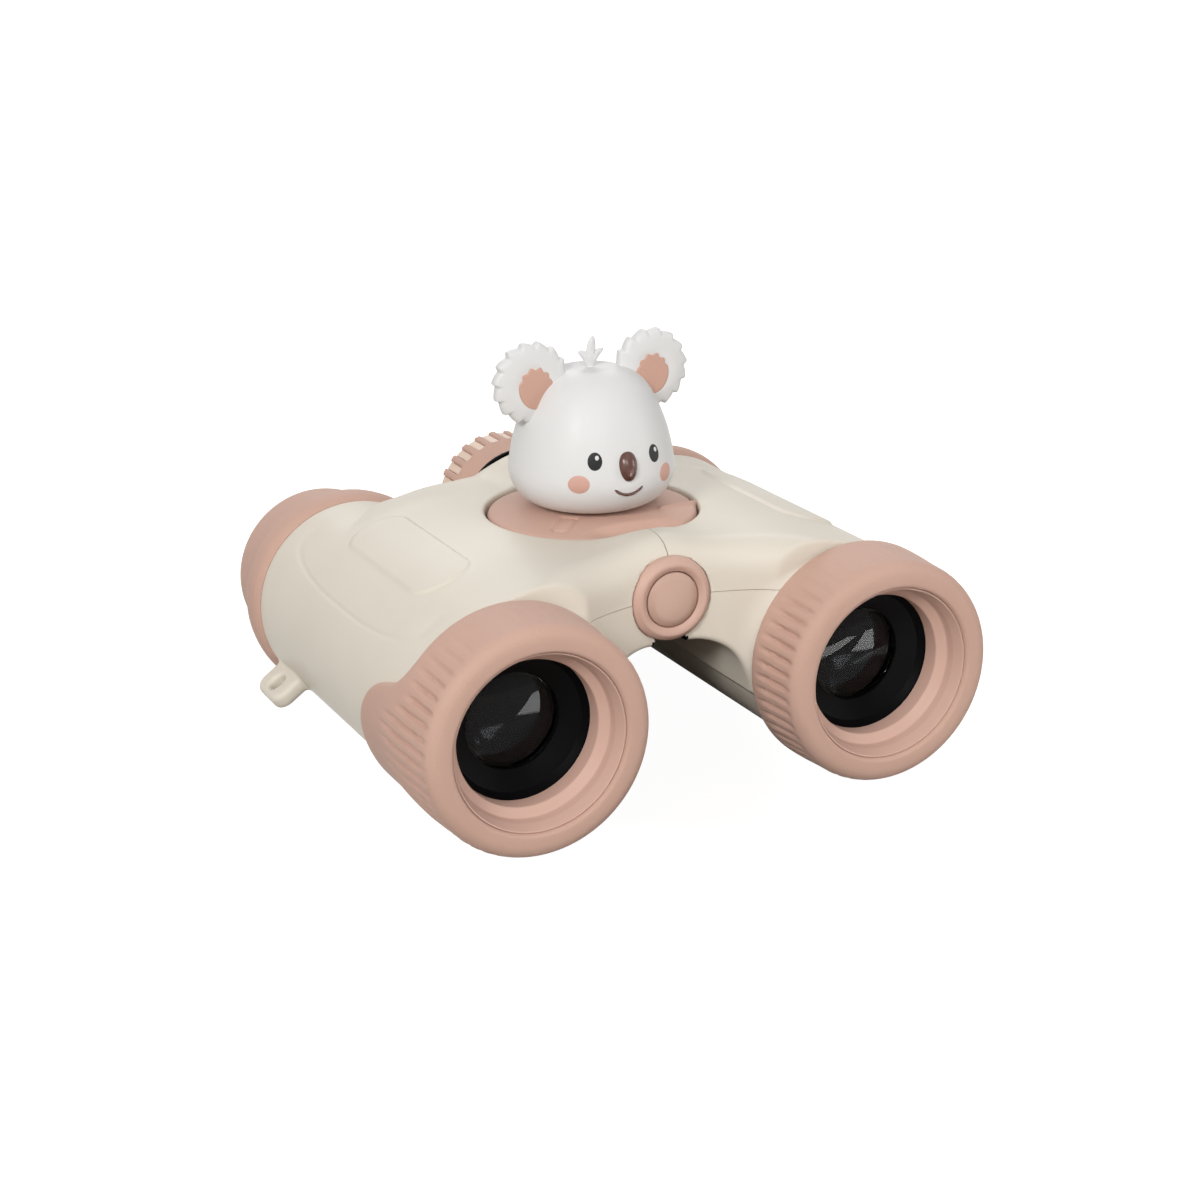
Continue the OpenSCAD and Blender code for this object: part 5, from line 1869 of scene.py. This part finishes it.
@dataclass
class Studio:
    """Pale floor, soft lights and the camera of the photograph."""

    azimuth: float = -26.458
    elevation: float = 19.068
    roll: float = -0.708
    lens: float = 69.3
    sensor: float = 36.0
    nearest: float = 0.01
    camera_at: tuple[float, float, float] = (-0.15961, -0.32653, 0.14703)
    floor_size: float = 6.0
    floor_tone: Tone = (150, 146, 139)
    floor_rough: float = 0.9
    floor_specular: float = 0.1
    # Painted shade: the floor's colour darkens to this tone under and between the barrels, standing in for
    # the shade that falls there.
    under_shade_tone: Tone = (44, 37, 24)
    under_shade_size: Point = (0.028, 0.06)
    under_shade_fade: Point = (0.7, 1.3)
    floor_glow: float = 0.97
    # Two floor patches glow though they are no lamp, placed so that each lens mirrors them as a painted
    # highlight.
    patch_azimuth: float = 43.0
    patch_far: float = 0.125
    patch_size: Point = (0.026, 0.15)
    patch_fade: Point = (1.0, 0.9)
    highlight_patch_glow: float = 13.0
    world_light: float = 0.3
    aim: tuple[float, float, float] = (0.0, 0.0, 0.03)
    lamps: tuple[Lamp, ...] = (
        Lamp("upper_left_light", (-0.8, -0.62, 0.62), (0.26, 0.26), 6.0),
        Lamp("top_front_light", (0.15, -0.45, 1.0), (0.9, 0.7), 1.2),
        Lamp("camera_side_light", (-0.3, -0.9, 0.6), (0.5, 0.4), 2.9),
        Lamp("left_low_light", (-0.9, -0.55, 0.3), (0.6, 0.5), 0.9),
        Lamp("rear_soft_light", (0.35, 0.95, 0.75), (0.8, 0.6), 3.6),
        Lamp("right_strip_light", (0.72, -0.5, 0.24), (0.24, 0.34), 1.5),
    )

    def camera(self) -> None:
        """Makes the camera at the photograph's viewing angle."""
        a, e, roll = (math.radians(v) for v in (self.azimuth, self.elevation, self.roll))
        back = Vector((math.sin(a) * math.cos(e), -math.cos(a) * math.cos(e), math.sin(e)))
        across = Vector((math.cos(a), math.sin(a), 0))
        upward = back.cross(across)
        right = across * math.cos(roll) + upward * math.sin(roll)
        up = upward * math.cos(roll) - across * math.sin(roll)
        data = bpy.data.cameras.new("photo_camera")
        data.lens = self.lens
        data.sensor_width = self.sensor
        data.clip_start = self.nearest
        camera = bpy.data.objects.new("photo_camera", data)
        turn = Matrix((right, up, back)).transposed().to_4x4()
        camera.matrix_world = Matrix.Translation(self.camera_at) @ turn
        bpy.context.scene.collection.objects.link(camera)
        bpy.context.scene.camera = camera

    def seen_directly(self, tree: Tree) -> Socket:
        """Adds the test for rays that show the background: from the camera, a mirror or glass.

        Args:
            tree: The tree of the floor or the world.

        Returns:
            Socket of 1 for those rays and 0 for others.
        """
        path = tree.nodes.new("ShaderNodeLightPath").outputs
        mirror = maths(tree, "MAXIMUM", path["Is Camera Ray"], path["Is Glossy Ray"])
        return maths(tree, "MAXIMUM", mirror, path["Is Transmission Ray"])

    def floor_place(self, tree: Tree, at: Point, turn: float, size: Point) -> Socket:
        """Adds the place on the floor in a turned frame of its own.

        Args:
            tree: The floor's tree.
            at: Middle of the frame.
            turn: Its turn in radians.
            size: What counts as 1 along its two ways.

        Returns:
            Socket of the place.
        """
        place = tree.nodes.new("ShaderNodeTexCoord")
        shift = tree.nodes.new("ShaderNodeMapping")
        shift.vector_type = "TEXTURE"
        shift.inputs["Location"].default_value = (*at, 0)
        shift.inputs["Rotation"].default_value = (0, 0, turn)
        shift.inputs["Scale"].default_value = (*size, 1)
        tree.links.new(place.outputs["Object"], shift.inputs["Vector"])
        return shift.outputs[0]

    def brightness(self, tree: Tree) -> Socket:
        """Adds the floor's brightness, with two patches that glow far past white, though they are no lamp, as
        painted highlights that each lens mirrors.

        Args:
            tree: The floor's tree.

        Returns:
            Socket of the brightness.
        """
        away = math.radians(self.patch_azimuth)
        half = (self.patch_size[0] / 2, self.patch_size[1] / 2)
        levels = []
        for side in Side:
            lens = DATUM.place([[side.value * DATUM.half_spacing, 0, 0]])[0]
            at = (lens[0] + self.patch_far * math.sin(away), lens[1] - self.patch_far * math.cos(away))
            size = tree.nodes.new("ShaderNodeVectorMath")
            size.operation = "ABSOLUTE"
            tree.links.new(self.floor_place(tree, at, away, half), size.inputs[0])
            split = tree.nodes.new("ShaderNodeSeparateXYZ")
            tree.links.new(size.outputs[0], split.inputs[0])
            far = maths(tree, "MAXIMUM", split.outputs["X"], split.outputs["Y"])
            levels.append(ranged(tree, far, self.patch_fade, (self.floor_glow, self.highlight_patch_glow), smooth=True))
        return maths(tree, "MAXIMUM", *levels)

    def clear_of_object(self, tree: Tree) -> Socket:
        """Adds the mask of the painted shade on the floor under the object.

        Args:
            tree: The floor's tree.

        Returns:
            Socket of 0 between the barrels and 1 away from the object.
        """
        far = tree.nodes.new("ShaderNodeVectorMath")
        far.operation = "LENGTH"
        tree.links.new(self.floor_place(tree, (0.0, 0.0), 0.0, self.under_shade_size), far.inputs[0])
        return ranged(tree, far.outputs["Value"], self.under_shade_fade, (0.0, 1.0), smooth=True)

    def mirrored(self, tree: Tree, mask: Socket) -> Socket:
        """Adds the floor's glow, with painted shade between the barrels, where glossy faces don't see it.

        Args:
            tree: The floor's tree.
            mask: Socket of 0 between the barrels and 1 away from the object.

        Returns:
            Socket of the glow's strength.
        """
        path = tree.nodes.new("ShaderNodeLightPath")
        # Painted shade: glossy rays lose the glow where the mask is 0, between the barrels.
        straight = maths(tree, "SUBTRACT", 1.0, path.outputs["Is Glossy Ray"])
        return maths(tree, "MULTIPLY", self.brightness(tree), maths(tree, "MAXIMUM", straight, mask))

    def floor(self) -> None:
        """Makes the pale floor, which keeps the object's shadow and has painted shade between the barrels, in
        its colour and in the glow that glossy faces see.
        """
        half = self.floor_size / 2
        mesh = bpy.data.meshes.new("studio_floor")
        corners = [(-half, -half, 0), (half, -half, 0), (half, half, 0), (-half, half, 0)]
        mesh.from_pydata(corners, [], [[0, 1, 2, 3]])
        floor = bpy.data.objects.new("studio_floor", mesh)
        bpy.context.scene.collection.objects.link(floor)
        material = bpy.data.materials.new("studio_floor")
        material.use_nodes = True
        tree = material.node_tree
        shader = tree.nodes["Principled BSDF"]
        mask = self.clear_of_object(tree)
        # Painted shade: the base colour turns to the dark under-shade tone where the mask is 0, between the
        # barrels.
        tree.links.new(tinted(tree, mask, self.under_shade_tone, self.floor_tone), shader.inputs["Base Color"])
        shader.inputs["Roughness"].default_value = self.floor_rough
        shader.inputs["Specular IOR Level"].default_value = self.floor_specular
        glow = tree.nodes.new("ShaderNodeEmission")
        tree.links.new(self.mirrored(tree, mask), glow.inputs["Strength"])
        both = tree.nodes.new("ShaderNodeMixShader")
        add = tree.nodes.new("ShaderNodeAddShader")
        tree.links.new(shader.outputs[0], add.inputs[0])
        tree.links.new(glow.outputs[0], add.inputs[1])
        tree.links.new(self.seen_directly(tree), both.inputs[0])
        tree.links.new(shader.outputs[0], both.inputs[1])
        tree.links.new(add.outputs[0], both.inputs[2])
        tree.links.new(both.outputs[0], tree.nodes["Material Output"].inputs["Surface"])
        mesh.materials.append(material)

    def world(self) -> None:
        """Makes an even white world, softer as light than as background."""
        world = bpy.data.worlds.new("studio_world")
        bpy.context.scene.world = world
        world.use_nodes = True
        tree = world.node_tree
        light = tree.nodes["Background"]
        light.inputs["Strength"].default_value = self.world_light
        light.inputs["Color"].default_value = (1, 1, 1, 1)
        seen = tree.nodes.new("ShaderNodeBackground")
        seen.inputs["Color"].default_value = (1, 1, 1, 1)
        mix = tree.nodes.new("ShaderNodeMixShader")
        tree.links.new(self.seen_directly(tree), mix.inputs[0])
        tree.links.new(light.outputs[0], mix.inputs[1])
        tree.links.new(seen.outputs[0], mix.inputs[2])
        tree.links.new(mix.outputs[0], tree.nodes["World Output"].inputs["Surface"])

    def build(self) -> None:
        """Makes the whole studio."""
        bpy.context.scene.view_settings.view_transform = "Standard"
        self.camera()
        self.floor()
        self.world()
        for lamp in self.lamps:
            lamp.build(self.aim)


def main() -> None:
    """Builds the studio and every sub-assembly in order."""
    logging.basicConfig(level=logging.INFO, format="%(name)s: %(message)s")
    for part in (Studio(), BodyShell(), GripRing(), ObjectiveEnd(), Eyepiece(), HingeCap(), FocusWheel(),
                 HeadCollar(), KoalaHead()):
        LOG.info("building %s", type(part).__name__)
        part.build()


if __name__ == "__main__":
    main()
